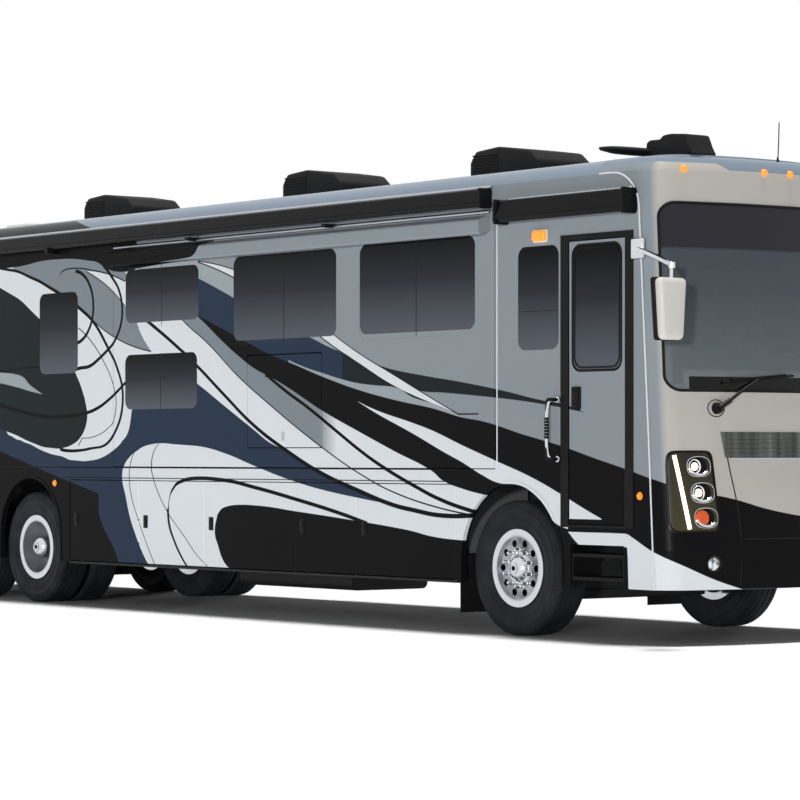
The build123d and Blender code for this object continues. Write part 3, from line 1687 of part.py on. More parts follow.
def nose_x_at(y, z):
    """How far forward the nose's skin is at (y, z), below the wall's top."""
    for (low_z, low_back), (high_z, high_back) in zip(nose_rows, nose_rows[1:]):
        if z <= high_z:
            share = (z - low_z) / (high_z - low_z)
            set_back = low_back + share * (high_back - low_back)
            break
    lean = math.radians(nose_lean)
    tangent_y = half_width - corner_r + corner_r * math.sin(lean)
    bow_r = tangent_y / math.sin(lean)
    return nose_x - set_back - bow_r + math.sqrt(bow_r**2 - y**2)


# Wipers: an arm from a boss under the windshield, and a blade parked along the glass
wiper_boss_y = 800.0
wiper_boss_z = 1790.0
wiper_boss_r = 38.0
wiper_boss_out = 46.0
wiper_arm_r = 11.0
wiper_arm_out = 42.0
wiper_blade_r = 9.0
wiper_blade_out = 12.0
wiper_blade_z = (1985.0, 2045.0)
wiper_blade_y = (740.0, 60.0)
wiper_arm_end = 0.5
with BuildPart() as wipers:
    for side in (-1, 1):
        blade_mid_y = wiper_blade_y[0] + wiper_arm_end * (wiper_blade_y[1] - wiper_blade_y[0])
        blade_mid_z = wiper_blade_z[0] + wiper_arm_end * (wiper_blade_z[1] - wiper_blade_z[0])
        boss_x = nose_x_at(wiper_boss_y, wiper_boss_z)
        elbow = (boss_x + wiper_arm_out, side * wiper_boss_y, wiper_boss_z)
        knee_z = (wiper_boss_z + wiper_blade_z[0]) / 2
        knee_y = wiper_boss_y - wiper_boss_r
        knee = (nose_x_at(knee_y, knee_z) + wiper_arm_out, side * knee_y, knee_z)
        grip = (
            nose_x_at(blade_mid_y, blade_mid_z) + wiper_blade_out, side * blade_mid_y, blade_mid_z
        )
        with Locations(Location((boss_x, side * wiper_boss_y, wiper_boss_z), (0, 90, 0))):
            Cylinder(wiper_boss_r, 2 * wiper_boss_out)
        with BuildLine() as arm:
            FilletPolyline(elbow, knee, grip, radius=4 * wiper_arm_r)
        with BuildSketch(Plane(arm.line @ 0, z_dir=arm.line % 0)):
            Circle(wiper_arm_r)
        sweep(path=arm.line)
        ends = [
            (nose_x_at(y, z) + wiper_blade_out, side * y, z)
            for y, z in zip(wiper_blade_y, wiper_blade_z)
        ]
        with BuildLine() as blade:
            ThreePointArc(ends[0], grip, ends[1])
        with BuildSketch(Plane(blade.line @ 0, z_dir=blade.line % 0)):
            Circle(wiper_blade_r)
        sweep(path=blade.line)
    add(nose_face, mode=Mode.SUBTRACT)
save(wipers.part, "wipers")
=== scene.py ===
# %% [markdown]
# # A three-axle motorhome, dressed for a studio picture
#
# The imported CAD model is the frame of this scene: it already holds the body, the glass, the
# wheels and everything that opens. This file adds what CAD leaves out, which is paint, rubber,
# chrome, tread, trim, lamps and soft seats. Every length is in metres, with +X forward,
# +Y to the driver's side and +Z up, and the ground at Z = 0.

# %% Load the frame
import math

import bmesh
import bpy
from mathutils import Matrix, Vector
from mathutils.bvhtree import BVHTree


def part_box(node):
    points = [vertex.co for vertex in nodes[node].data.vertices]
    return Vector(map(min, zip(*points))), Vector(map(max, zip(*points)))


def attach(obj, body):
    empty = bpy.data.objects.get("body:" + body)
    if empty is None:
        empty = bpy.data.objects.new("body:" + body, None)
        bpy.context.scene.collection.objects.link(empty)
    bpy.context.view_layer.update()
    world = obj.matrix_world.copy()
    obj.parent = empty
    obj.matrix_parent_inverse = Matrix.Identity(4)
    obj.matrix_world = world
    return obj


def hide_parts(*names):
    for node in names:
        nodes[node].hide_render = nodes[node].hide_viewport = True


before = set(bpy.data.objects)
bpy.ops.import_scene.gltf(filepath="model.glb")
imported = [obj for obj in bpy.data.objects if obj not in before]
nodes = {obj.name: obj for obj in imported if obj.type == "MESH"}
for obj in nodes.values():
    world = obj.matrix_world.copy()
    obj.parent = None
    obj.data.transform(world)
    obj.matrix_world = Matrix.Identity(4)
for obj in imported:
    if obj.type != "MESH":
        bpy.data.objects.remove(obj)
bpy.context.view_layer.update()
# sizes that many pieces share
half_width = 1.275
axle_x = {"front": 4.5, "drive": -2.8, "tag": -4.02}
front_axle_x = axle_x["front"]
tyre_r = 0.538
wheel_y = 1.069

# %% [markdown]
# ## The camera
#
# The photograph looks at the right front corner from low down and far away: the far end of the
# coach is cut off by the picture's edge. A long lens held level keeps the upright lines upright,
# and a small vertical shift puts the horizon where the photograph has it. Tilting the camera
# would do the same for the horizon, but it would make the uprights lean.

# %% Camera
camera_data = bpy.data.cameras.new("camera")
camera_data.sensor_width = 36
camera_data.lens = 139.95
camera_data.shift_y = 0.06875
camera_data.clip_end = 500
camera = bpy.data.objects.new("camera", camera_data)
camera.location = (23.398, -17.153, 1.437)
camera.rotation_euler = (math.radians(90), 0, math.radians(52))
bpy.context.scene.collection.objects.link(camera)
bpy.context.scene.camera = camera
bpy.context.scene.view_settings.view_transform = "Standard"
print("camera at", tuple(round(c, 2) for c in camera.location))

# %% [markdown]
# ## Writing materials as sums
#
# A material's pattern is arithmetic on positions: "white where the height is under this line".
# Wiring such sums by hand takes dozens of nodes. A small class that stands for a number in the
# node tree lets Python's own operators add the Math nodes, so the pattern reads as a formula.
# Another class holds one material and has a single way to add any node.


# %% Numbers and colours in a node tree
def colour(red, green, blue):
    """A screen colour from 0 to 255, as the linear values that shaders use."""
    channels = [c / 255 for c in (red, green, blue)]
    linear = [c / 12.92 if c <= 0.04045 else ((c + 0.055) / 1.055) ** 2.4 for c in channels]
    return (*linear, 1.0)


class Value:
    """A number that runs through a material's nodes."""

    def __init__(self, finish, socket):
        self.finish = finish
        self.socket = socket

    def maths(self, operation, *others, clamp=False):
        settings = {"operation": operation, "use_clamp": clamp}
        made = self.finish.node("ShaderNodeMath", settings, dict(enumerate((self, *others))))
        return Value(self.finish, made.outputs[0])

    def __add__(self, other):
        return self.maths("ADD", other)

    __radd__ = __add__

    def __sub__(self, other):
        return self.maths("SUBTRACT", other)

    def __rsub__(self, other):
        return self.maths("MULTIPLY_ADD", -1.0, other)

    def __mul__(self, other):
        return self.maths("MULTIPLY", other)

    __rmul__ = __mul__

    def __neg__(self):
        return self.maths("MULTIPLY", -1.0)

    def least(self, *others):
        found = self
        for other in others:
            found = found.maths("MINIMUM", other)
        return found

    def most(self, *others):
        found = self
        for other in others:
            found = found.maths("MAXIMUM", other)
        return found

    def size(self):
        return self.maths("ABSOLUTE")

    def mask(self, soft=0.004):
        """0 where the value is negative and 1 where it is positive, with a narrow soft step."""
        return self.maths("MULTIPLY_ADD", 1 / soft, 0.5, clamp=True)

    def ramp(self, low, high):
        """0 below low, 1 above high, and a straight line between."""
        span = high - low
        return self.maths("MULTIPLY_ADD", 1 / span, -low / span, clamp=True)


# %% One material
class Finish:
    """A material, its main shader and short ways to add nodes to it."""

    def __init__(self, name, base, **sockets):
        self.material = bpy.data.materials.new(name)
        self.material.use_nodes = True
        self.tree = self.material.node_tree
        self.shader = self.tree.nodes["Principled BSDF"]
        self.dye(base)
        self.feed(self.shader, {key.replace("_", " "): v for key, v in sockets.items()})

    def feed(self, node, inputs):
        for name, value in inputs.items():
            value = value.socket if isinstance(value, Value) else value
            if isinstance(value, bpy.types.NodeSocket):
                self.tree.links.new(value, node.inputs[name])
            else:
                node.inputs[name].default_value = value

    def node(self, kind, settings=None, inputs=None):
        """Adds a node: its settings first, then the values or links of its sockets."""
        made = self.tree.nodes.new(kind)
        for name, value in (settings or {}).items():
            if name == "points":
                curve = made.mapping.curves[0]
                for place, height in value[1:-1]:
                    curve.points.new(place, height)
                curve.points[0].location = value[0]
                curve.points[len(value) - 1].location = value[-1]
                made.mapping.update()
            else:
                setattr(made, name, value)
        self.feed(made, inputs or {})
        return made

    def dye(self, shade):
        """Gives the main shader a colour, plain or varying."""
        self.feed(self.shader, {"Base Color": shade})

    def place(self):
        """The point's own X, Y and Z on the object."""
        coordinates = self.node("ShaderNodeTexCoord").outputs["Object"]
        parts = self.node("ShaderNodeSeparateXYZ", inputs={0: coordinates})
        return [Value(self, parts.outputs[axis]) for axis in range(3)]

    def mix(self, factor, first, second):
        """One colour over another, by a mask."""
        made = self.node(
            "ShaderNodeMix", {"data_type": "RGBA"}, {0: factor, 6: first, 7: second}
        )
        return made.outputs[2]

    def noise(self, scale, detail=2.0, stretch=(1, 1, 1)):
        """Smooth noise from 0 to 1; stretch makes its grain longer along an axis."""
        coordinates = self.node("ShaderNodeTexCoord").outputs["Object"]
        mapped = self.node("ShaderNodeMapping", inputs={0: coordinates, "Scale": stretch})
        made = self.node(
            "ShaderNodeTexNoise",
            inputs={"Vector": mapped.outputs[0], "Scale": scale, "Detail": detail},
        )
        return Value(self, made.outputs[0])

    def bump(self, height, depth):
        """Raises the surface's shading by height times depth, in metres."""
        made = self.node("ShaderNodeBump", inputs={"Height": height, "Distance": depth})
        self.feed(self.shader, {"Normal": made.outputs[0]})

    def wear(self, low, high, scale=6.0, detail=4.0):
        """Roughness that wanders between two values, as handled and weathered surfaces have."""
        self.feed(self.shader, {"Roughness": self.noise(scale, detail) * (high - low) + low})


print("helpers ready")

# %% [markdown]
# ## Paint laid on in bands
#
# The coach's sides carry long swept bands, as a sprayer makes them: mask, spray, mask again.
# An image would do it, but an image has a fixed sharpness and belongs to one shape. Here each
# band is a smooth line, given by a few points, and a coat covers what lies under that line.
# Coats go on in order, each over the last, so later lines may hide the ends of earlier ones.
# Loops are lines too, told by their distance from a centre at each angle round it.


# %% Bands
class Bands:
    """Coats of paint laid on in order over a first colour."""

    def __init__(self, finish, along, height, first):
        self.finish, self.along, self.height = finish, along, height
        self.shade = first

    def line(self, points, over=None):
        """A smooth line's value at each place along the coach, or over another value."""
        places = [p[0] for p in points]
        levels = [p[1] for p in points]
        start, span = places[0], places[-1] - places[0]
        low, rise = min(levels), max(max(levels) - min(levels), 0.01)
        over = self.along if over is None else over
        spots = [((place - start) / span, (level - low) / rise) for place, level in points]
        made = self.finish.node(
            "ShaderNodeFloatCurve",
            {"points": spots},
            {"Value": over.ramp(start, start + span)},
        )
        return Value(self.finish, made.outputs[0]) * rise + low

    def under(self, points):
        """Positive below a line."""
        return self.line(points) - self.height

    def coat(self, shade, *insides):
        """Covers the places where every one of insides is positive."""
        mask = insides[0].least(*insides[1:]).mask()
        self.shade = self.finish.mix(mask, self.shade, shade)

    def stroke(self, shade, off, width, *limits):
        """A line of paint where off, the distance from its middle, is small."""
        self.coat(shade, width / 2 - off.size(), *limits)

    def round(self, centre_x, centre_z):
        """The angle in degrees and the distance round a centre."""
        x = self.along - centre_x
        z = self.height - centre_z
        angle = z.maths("ARCTAN2", x) * (180 / math.pi)
        return angle, (x * x + z * z).maths("SQRT")


# colours of the coats
slate = colour(143, 151, 158)
leaf_grey = colour(131, 140, 147)
silver_grey = colour(159, 168, 174)
swept_white = colour(224, 229, 233)
navy = colour(43, 56, 76)
deep_navy = colour(30, 35, 50)
pine_black = colour(32, 39, 41)
jet = colour(15, 15, 17)
pearl = colour(188, 184, 178)
brow_blue = colour(132, 146, 160)
print("band colours ready")

# %% [markdown]
# ## The lines of the bands
#
# Each list gives a line as (place, height) pairs in metres, with the place measured from the
# front axle. They run from the roof at the rear down to the front bumper. The last numbers of
# the lines that reach the nose are beyond its corner, where the bands carry on across the face.

# %% Lines that sweep down to the front
black_top = [
    (-4.6, 2.76), (-4.4, 2.70), (-4.0, 2.563), (-3.6, 2.425), (-3.2, 2.295), (-3.0, 2.245),
    (-2.5, 2.108), (-2.0, 1.988), (-1.5, 1.895), (-1.0, 1.82), (-0.6, 1.74), (-0.35, 1.708),
    (0.15, 1.60), (0.61, 1.508), (1.0, 1.413), (1.325, 1.338), (1.625, 1.263), (2.05, 1.17),
    (2.475, 1.11), (2.9, 1.02), (3.3, 0.96),
]
upper_swoosh_top = [
    (-1.9, 2.245), (-1.6, 2.163), (-1.1, 2.088), (-0.6, 2.025), (-0.1, 1.95), (0.4, 1.863),
    (0.6, 1.838), (0.875, 1.768),
]
upper_swoosh_low = [
    (-1.9, 2.24), (-1.75, 2.185), (-1.5, 2.098), (-1.25, 1.998), (-1.15, 1.963), (-0.85, 1.945),
    (-0.35, 1.908), (0.15, 1.863), (0.6, 1.808), (0.875, 1.766),
]
ribbon_top = [
    (-4.45, 3.2), (-3.84, 3.09), (-3.3, 2.9), (-2.8, 2.69), (-2.36, 2.47), (-2.0, 2.3),
    (-1.5, 2.1), (-1.0, 1.9), (-0.66, 1.77),
]
ribbon_low = [
    (-4.45, 3.198), (-3.84, 3.02), (-3.3, 2.8), (-2.8, 2.58), (-2.35, 2.363), (-2.0, 2.213),
    (-1.5, 2.005), (-1.0, 1.855), (-0.66, 1.768),
]
navy_top = [
    (-4.6, 3.1), (-4.375, 3.03), (-3.84, 2.84), (-3.3, 2.63), (-2.7, 2.455), (-2.38, 2.35),
    (-2.2, 2.302), (-2.0, 2.213), (-1.5, 2.005), (-1.0, 1.855), (-0.66, 1.768),
]
silver_top = [
    (-3.0, 2.263), (-2.75, 2.193), (-2.5, 2.138), (-2.25, 2.085), (-2.0, 2.043), (-1.75, 2.02),
    (-1.5, 2.0), (-1.25, 1.913), (-0.9, 1.838), (-0.6, 1.742),
]
white_blade_top = [
    (-2.0, 1.888), (-1.75, 1.813), (-1.25, 1.70), (-1.0, 1.638), (-0.6, 1.513), (-0.175, 1.388),
    (0.25, 1.263), (0.6125, 1.13), (0.875, 1.025), (1.08, 0.948),
]
white_blade_low = [
    (-2.0, 1.887), (-1.75, 1.788), (-1.25, 1.613), (-0.85, 1.463), (-0.6, 1.375), (-0.35, 1.275),
    (-0.15, 1.215), (0.1, 1.2), (0.25, 1.15), (0.42, 1.02), (0.6125, 0.88), (1.08, 0.85),
]
grey_band_top = [
    (-4.8, 2.88), (-4.375, 2.675), (-4.0, 2.45), (-3.75, 2.313), (-3.5, 2.195), (-3.25, 2.113),
    (-3.0, 2.02), (-2.5, 1.813), (-2.0, 1.638), (-1.5, 1.468), (-1.0, 1.305), (-0.85, 1.225),
    (-0.6, 1.163), (-0.3, 1.115),
]
second_line = [
    (-3.325, 2.138), (-3.0, 1.975), (-2.75, 1.863), (-2.25, 1.613), (-2.0, 1.488), (-1.75, 1.375),
    (-1.25, 1.188), (-0.85, 1.063), (-0.45, 0.98),
]
white_band_top = [
    (-12.3, 3.62), (-6.5, 3.62), (-5.6, 3.3), (-5.3, 3.1), (-4.9, 2.83), (-4.6, 2.638),
    (-4.25, 2.45), (-3.75, 2.13), (-3.25, 1.863), (-2.75, 1.613), (-2.25, 1.388), (-2.0, 1.288),
    (-1.5, 1.125), (-0.9, 1.005), (-0.5, 0.955),
]
first_line = [
    (-5.5, 2.80), (-5.2, 2.663), (-4.8, 2.463), (-4.4, 2.238), (-4.0, 1.988), (-3.5, 1.688),
    (-3.0, 1.463), (-2.5, 1.275), (-2.0, 1.138), (-1.5, 1.018), (-1.25, 0.983), (-0.9, 0.945),
    (-0.475, 0.95),
]
navy_wedge_top = [
    (-12.3, 2.3), (-9.5, 1.95), (-7.9, 1.72), (-5.7, 1.9), (-5.5, 2.02), (-4.6, 2.16),
    (-4.4, 2.08), (-4.0, 1.888), (-3.5, 1.65), (-3.275, 1.545), (-3.0, 1.463), (-2.5, 1.275),
    (-2.0, 1.138), (-1.6, 1.05),
]
bulb_top = [
    (-5.64, 1.3), (-5.55, 1.4), (-5.4, 1.475), (-5.2, 1.53), (-5.0, 1.545), (-4.775, 1.535),
    (-4.35, 1.513), (-4.0, 1.458), (-3.5, 1.338), (-3.0, 1.225), (-2.5, 1.138), (-2.0, 1.075),
    (-1.5, 1.02), (-1.0, 0.96), (-0.3, 0.94),
]
lower_black_top = [
    (-4.1, 0.86), (-4.06, 0.925), (-3.95, 0.975), (-3.75, 0.995), (-3.5, 0.993), (-2.9, 0.95),
    (-2.1, 0.888), (-1.35, 0.82), (-0.85, 0.758), (-0.5, 0.745),
]
bulb_line = [
    (-4.88, 0.93), (-4.86, 1.025), (-4.8, 1.125), (-4.65, 1.2), (-4.45, 1.225), (-4.0, 1.213),
    (-3.5, 1.15), (-2.9, 1.055), (-2.3, 0.95), (-1.87, 0.86),
]
sill_white_top = [
    (0.62, 0.842), (0.9, 0.841), (1.30, 0.840), (1.36, 0.838), (1.42, 0.816), (1.65, 0.713),
    (2.0, 0.60), (2.3, 0.5), (2.6, 0.42),
]
sill_white_low = [
    (0.66, 0.862), (0.69, 0.842), (0.80, 0.757), (0.84, 0.738), (0.9, 0.737), (1.30, 0.737),
    (1.37, 0.735), (1.385, 0.45), (1.40, 0.40), (1.5, 0.385), (2.6, 0.38),
]
print("front lines ready")

# %% [markdown]
# The rear of the coach has a great hook: a dark bulb held in a white crescent, with thin loops
# drawn over it. Here a line may turn back over itself, so these are told round a centre, as
# (angle, distance) pairs, or by their place at each height.

# %% Lines of the rear hook
hook_centre = (-6.9, 2.05)
bulb_edge = [
    (-180, 2.6), (-172, 1.82), (-165, 1.35), (-156, 0.931), (-137, 0.679), (-100, 0.549),
    (-72, 0.577), (-56, 0.627), (-42, 0.68), (-31, 0.70), (-21, 0.687), (-11, 0.623),
    (5, 0.527), (26, 0.456), (60, 0.47), (90, 0.58), (109, 0.767), (124, 1.116),
    (133, 1.433), (139, 1.844), (145, 2.44), (152, 5.0), (174, 5.0), (180, 2.6),
]
crescent_edge = [
    (-180, 0.96), (-156, 0.93), (-150, 0.858), (-145, 0.80), (-139, 0.727), (-114, 0.604),
    (-85, 0.614), (-62, 0.749), (-48, 0.903), (-37, 1.073), (-28, 1.225), (-21, 1.342),
    (-14, 1.419), (-8, 1.424), (20, 1.40), (60, 1.3),
]
hook_line = [
    (-75, 0.575), (-55, 0.70), (-40.6, 0.856), (-21, 1.18), (-4.5, 1.264), (11, 1.172),
    (21.8, 1.077), (40.9, 0.992), (60.4, 0.932), (82.5, 0.958), (104, 1.124), (119.4, 1.377),
    (128.2, 1.577), (137, 1.91), (147, 2.5),
]
inner_loop = [
    (-39.3, 0.711), (-28.3, 0.908), (-19.9, 1.064), (-13.9, 1.144), (-7.5, 1.155),
    (-1.3, 1.125), (6.8, 1.057), (18.4, 0.949), (38, 0.826), (53, 0.764),
]
big_loop_centre = (-6.4, 2.8)
big_loop = [
    (-165, 1.9), (-160.4, 1.566), (-138.5, 0.8), (-94, 0.541), (-70, 0.55), (-46.7, 0.584),
    (-21.8, 0.70), (-7.7, 0.747), (1.9, 0.75), (14, 0.721), (28, 0.653), (46, 0.60),
]
small_loop_centre, small_loop_r = (-6.5, 2.85), 0.348
leaf_top = [
    (-7.9, 3.27), (-7.62, 3.287), (-6.9, 3.325), (-6.15, 3.275), (-5.59, 3.14), (-5.45, 2.78),
    (-5.36, 2.6), (-5.16, 2.395),
]
leaf_low = [
    (-7.62, 3.25), (-7.175, 3.14), (-6.775, 3.0), (-6.44, 2.86), (-6.15, 2.71), (-5.95, 2.61),
    (-5.75, 2.533), (-5.5, 2.458), (-5.16, 2.393),
]
small_leaf_top = [(-6.28, 3.19), (-6.0, 3.158), (-5.6, 3.06)]
small_leaf_low = [(-6.28, 3.185), (-6.15, 3.138), (-5.9, 3.025), (-5.6, 2.83)]
# black down from the roof: paint at the rear, and forward of it a painted shadow under the awning's
# topper
roof_black_and_topper_shadow = [
    (-12.3, 3.52), (-9.0, 3.5), (-8.3, 3.42), (-7.9, 3.29), (-7.62, 3.287), (-6.9, 3.325),
    (-6.15, 3.275), (-5.59, 3.15), (-5.4, 3.17), (-4.8, 3.2), (-4.3, 3.22), (-4.1, 3.6),
]
thin_loop = [(-6.76, 3.12), (-6.72, 3.2), (-6.575, 3.225), (-6.15, 3.188), (-5.6, 3.06)]
thick_arc = [
    (-7.95, 1.95), (-7.5, 1.87), (-7.0, 1.81), (-6.6, 1.81), (-6.275, 1.838), (-6.1, 1.875),
    (-5.9, 1.95), (-5.75, 2.025), (-5.5, 2.17),
]
wing_top = [(-9.6, 2.35), (-7.95, 2.26), (-7.525, 2.225), (-7.3, 2.12), (-7.075, 2.03)]
wing_low = [(-9.6, 2.34), (-7.95, 2.16), (-7.525, 2.10), (-7.3, 2.06), (-7.075, 2.028)]
tail_black = [
    (-12.3, 2.6), (-11.0, 2.3), (-10.0, 2.02), (-9.0, 1.75), (-7.87, 1.475), (-7.12, 1.30),
    (-6.05, 1.07),
]
# places at each height
bulb_rear = [
    (0.42, -5.2), (0.525, -5.3), (0.70, -5.425), (0.875, -5.525), (1.05, -5.59), (1.225, -5.65),
    (1.3, -5.64),
]
lower_black_rear = [(0.42, -3.875), (0.5, -4.0), (0.625, -4.075), (0.74, -4.125), (0.86, -4.1)]
bulb_line_rear = [(0.43, -4.575), (0.525, -4.675), (0.65, -4.775), (0.8, -4.86), (0.93, -4.88)]
navy_rear = [(0.42, -5.70), (0.5, -5.75), (0.875, -6.05), (1.08, -6.11)]
thin_one = [
    (0.44, -5.11), (0.675, -5.275), (0.875, -5.4), (1.05, -5.49), (1.225, -5.53), (1.375, -5.5),
    (1.5, -5.375),
]
thin_two = [
    (0.44, -4.25), (0.525, -4.4), (0.725, -4.65), (0.925, -4.9), (1.1, -5.05), (1.225, -5.125),
    (1.325, -5.155), (1.45, -5.125), (1.54, -5.03),
]
print("rear lines ready")


# %% The coats, in order
def swept_bands(finish, first, whole):
    """Lays every coat on a finish; the nose takes only the bands that reach it."""
    x, y, z = finish.place()
    # past a corner the bands carry on across the nose or the tail
    corner = half_width - y.size()
    along = x - front_axle_x + corner * ((x - 2.0).mask(8.0) * 2.0 - 1.0)
    paint = Bands(finish, along, z, first)
    if whole:
        paint.coat(
            pine_black,
            paint.under(upper_swoosh_top),
            -paint.under(upper_swoosh_low),
            0.875 - along,
            along + 1.9,
        )
        ribbon = paint.under(ribbon_low)
        before = -0.64 - along
        paint.coat(swept_white, paint.under(ribbon_top), before)
        paint.coat(silver_grey, ribbon, before)
        paint.stroke(jet, ribbon, 0.012, before, along + 4.4)
        paint.stroke(jet, paint.under(ribbon_top), 0.010, before, along + 4.4)
        below = paint.under(navy_top)
        # the dark blue deepens towards the ground
        paint.coat(finish.mix(z.ramp(0.6, 2.0), deep_navy, navy), below, before)
        paint.coat(pine_black, below, before, along + 2.22)
        paint.stroke(jet, ribbon, 0.012, -0.4 - along, along + 1.8)
        paint.coat(silver_grey, paint.under(silver_top), along + 3.0, -0.6 - along)
    paint.coat(jet, paint.under(black_top))
    paint.coat(
        swept_white,
        paint.under(white_blade_top),
        -paint.under(white_blade_low),
        along + 2.0,
        1.08 - along,
    )
    if whole:
        fade = finish.mix(along.ramp(-2.55, -2.3), leaf_grey, swept_white)
        paint.coat(fade, paint.under(grey_band_top), -0.3 - along)
        paint.stroke(jet, paint.under(second_line), 0.034, along + 3.35, -0.4 - along)
        edge = paint.under(white_band_top)
        paint.coat(swept_white, edge, -0.5 - along)
        paint.stroke(jet, edge, 0.013, along + 4.75, -0.5 - along)
        paint.coat(navy, paint.under(navy_wedge_top), -1.6 - along)
        behind_bulb = paint.line(bulb_rear, z) * -1.0 + along
        paint.coat(swept_white, behind_bulb, paint.under(bulb_top), -0.3 - along)
        paint.stroke(jet, paint.under(first_line), 0.038, along + 5.3, -0.4 - along)
        # the bulb's black foot and its drawn lines
        foot = along - paint.line(lower_black_rear, z)
        paint.coat(jet, foot, paint.under(lower_black_top))
        ring = (paint.line(bulb_line_rear, z) - along).most(-paint.under(bulb_line))
        paint.stroke(jet, ring, 0.034, -1.87 - along, along + 5.0)
        paint.stroke(pine_black, paint.line(thin_one, z) - along, 0.012, 1.5 - z)
        paint.stroke(pine_black, paint.line(thin_two, z) - along, 0.014, 1.54 - z)
        # rear: the leaf, its loops and the black over it
        paint.coat(
            leaf_grey, paint.under(leaf_top), -paint.under(leaf_low), -5.16 - along, along + 7.62
        )
        paint.stroke(jet, paint.under(leaf_low), 0.012, -5.16 - along, along + 6.4)
        paint.coat(
            swept_white, paint.under(small_leaf_top), -paint.under(small_leaf_low),
            along + 6.28, -5.5 - along,
        )
        paint.stroke(jet, paint.under(small_leaf_low), 0.012, along + 6.28, -5.6 - along)
        paint.coat(jet, paint.under(tail_black), -6.06 - along)
        paint.coat(jet, paint.line(navy_rear, z) - along, 1.08 - z)
        angle, reach = paint.round(*hook_centre)
        paint.coat(swept_white, paint.line(crescent_edge, angle) - reach, 2.2 - z)
        paint.coat(pine_black, paint.line(bulb_edge, angle) - reach)
        paint.coat(silver_grey, paint.under(wing_top), -paint.under(wing_low), -7.075 - along)
        paint.stroke(jet, paint.line(hook_line, angle) - reach, 0.036, angle + 75.0)
        inner = paint.line(inner_loop, angle) - reach
        paint.stroke(pine_black, inner, 0.013, along + 6.42, 55.0 - angle)
        turn, out = paint.round(*big_loop_centre)
        paint.stroke(jet, paint.line(big_loop, turn) - out, 0.034, 46.0 - turn)
        _, out = paint.round(*small_loop_centre)
        paint.stroke(jet, out - small_loop_r, 0.034, along + 6.47)
        paint.stroke(jet, paint.under(thick_arc), 0.034, -5.55 - along, along + 8.6)
        paint.stroke(jet, paint.under(thin_loop), 0.013, along + 6.76, -5.6 - along)
        # black along the roof: paint at the rear, a painted shadow under the awning's topper
        # further forward
        paint.coat(jet, -paint.under(roof_black_and_topper_shadow), -4.1 - along)
        paint.coat(slate, z - 3.366, along + 5.40)
        # the rear face is plain black, with one dark blue band
        paint.coat(jet, -11.16 - along)
        paint.coat(deep_navy, -11.16 - along, 0.16 - (z - 2.35).size())
    # the foot of the door stays black, with the white sill under it
    paint.coat(jet, along - 0.69, 1.40 - along, 0.942 - z)
    paint.coat(
        swept_white, paint.under(sill_white_top), -paint.under(sill_white_low), along - 0.68,
    )
    return paint.shade


def flake(finish, shade):
    """Metallic flake under lacquer: a fine change of brightness, and a faint ripple."""
    sparkle = finish.noise(900.0, 2.0)
    lit = finish.mix(sparkle * 0.004, shade, (1, 1, 1, 1))
    finish.dye(lit)
    finish.bump(finish.noise(9.0, 1.0), 0.0005)
    finish.wear(0.26, 0.34, 2.0)


# the coach's inside is lined, so the paint stops a little way in from every outer face
lining = colour(152, 151, 148)
body_paint = Finish("body_paint", slate, Specular_IOR_Level=0.03)
x, y, z = body_paint.place()
within = (half_width - 0.03 - y.size()).least(x + 5.95, 3.58 - z)
painted = swept_bands(body_paint, slate, True)
# gaps between panels are dark, and the lining begins behind them
inner = body_paint.mix((z - 1.33).least(within - 0.05).mask(), jet, lining)
flake(body_paint, body_paint.mix(within.mask(), painted, inner))
print("body paint nodes:", len(body_paint.tree.nodes))

# %% The nose's own colours
# pearl in front, grey on its sides, and a blue-grey brow with a step down in the middle
cap_paint = Finish("cap_paint", pearl, Specular_IOR_Level=0.03)
x, y, z = cap_paint.place()
beside = 6.235 - (z - 1.2) * 0.0555 - x
notch = (0.70 - y.size()).ramp(0.0, 0.10)
above = z - 3.652 + notch * 0.050
base = cap_paint.mix(beside.mask(0.05), pearl, slate)
base = cap_paint.mix(above.mask(), base, brow_blue)
skin_x = 6.465 - (z - 1.2) * 0.0552 - y * y * 0.125
within = (skin_x - 0.05 - x).least(1.10 - y.size(), 3.56 - z, z - 1.35)
painted = swept_bands(cap_paint, base, False)
flake(cap_paint, cap_paint.mix(within.mask(), painted, lining))
print("nose paint nodes:", len(cap_paint.tree.nodes))

# %% [markdown]
# ## Stage and light
#
# A plain pale floor and an even white surround, as in a studio. The surround is white to the
# camera and in reflections, and weaker as a lamp, so that a colour renders about as it is
# written. Three far, soft lamps model the forms.

# %% Stage
floor_mesh = bpy.data.meshes.new("studio_floor")
bm = bmesh.new()
bmesh.ops.create_circle(bm, cap_ends=True, segments=64, radius=180)
bm.to_mesh(floor_mesh)
bm.free()
floor = bpy.data.objects.new("studio_floor", floor_mesh)
bpy.context.scene.collection.objects.link(floor)
floor_finish = Finish("floor_white", (0.94, 0.94, 0.94, 1), Roughness=0.9, Specular_IOR_Level=0.0)
rays = floor_finish.node("ShaderNodeLightPath")
seen = rays.outputs["Is Camera Ray"]
shade = floor_finish.mix(seen, (0.94, 0.94, 0.94, 1), (1, 1, 1, 1))
floor_finish.dye(shade)
floor.data.materials.append(floor_finish.material)

world = bpy.data.worlds.new("surround")
bpy.context.scene.world = world
world.use_nodes = True
sky = world.node_tree


def sky_maths(operation, *values):
    """Adds a Math node to the world and returns its output."""
    made = sky.nodes.new("ShaderNodeMath")
    made.operation = operation
    for number, value in enumerate(values):
        if isinstance(value, bpy.types.NodeSocket):
            sky.links.new(value, made.inputs[number])
        else:
            made.inputs[number].default_value = value
    return made.outputs[0]


# white to the camera, in reflections and through glass, and weaker as a lamp
paths = sky.nodes.new("ShaderNodeLightPath").outputs
white = sky_maths("MAXIMUM", paths["Is Camera Ray"], paths["Is Glossy Ray"])
white = sky_maths("MAXIMUM", white, paths["Is Transmission Ray"])
strength = sky_maths("MAXIMUM", white, 0.09)
back = sky.nodes["Background"]
back.inputs["Color"].default_value = (1, 1, 1, 1)
sky.links.new(strength, back.inputs["Strength"])


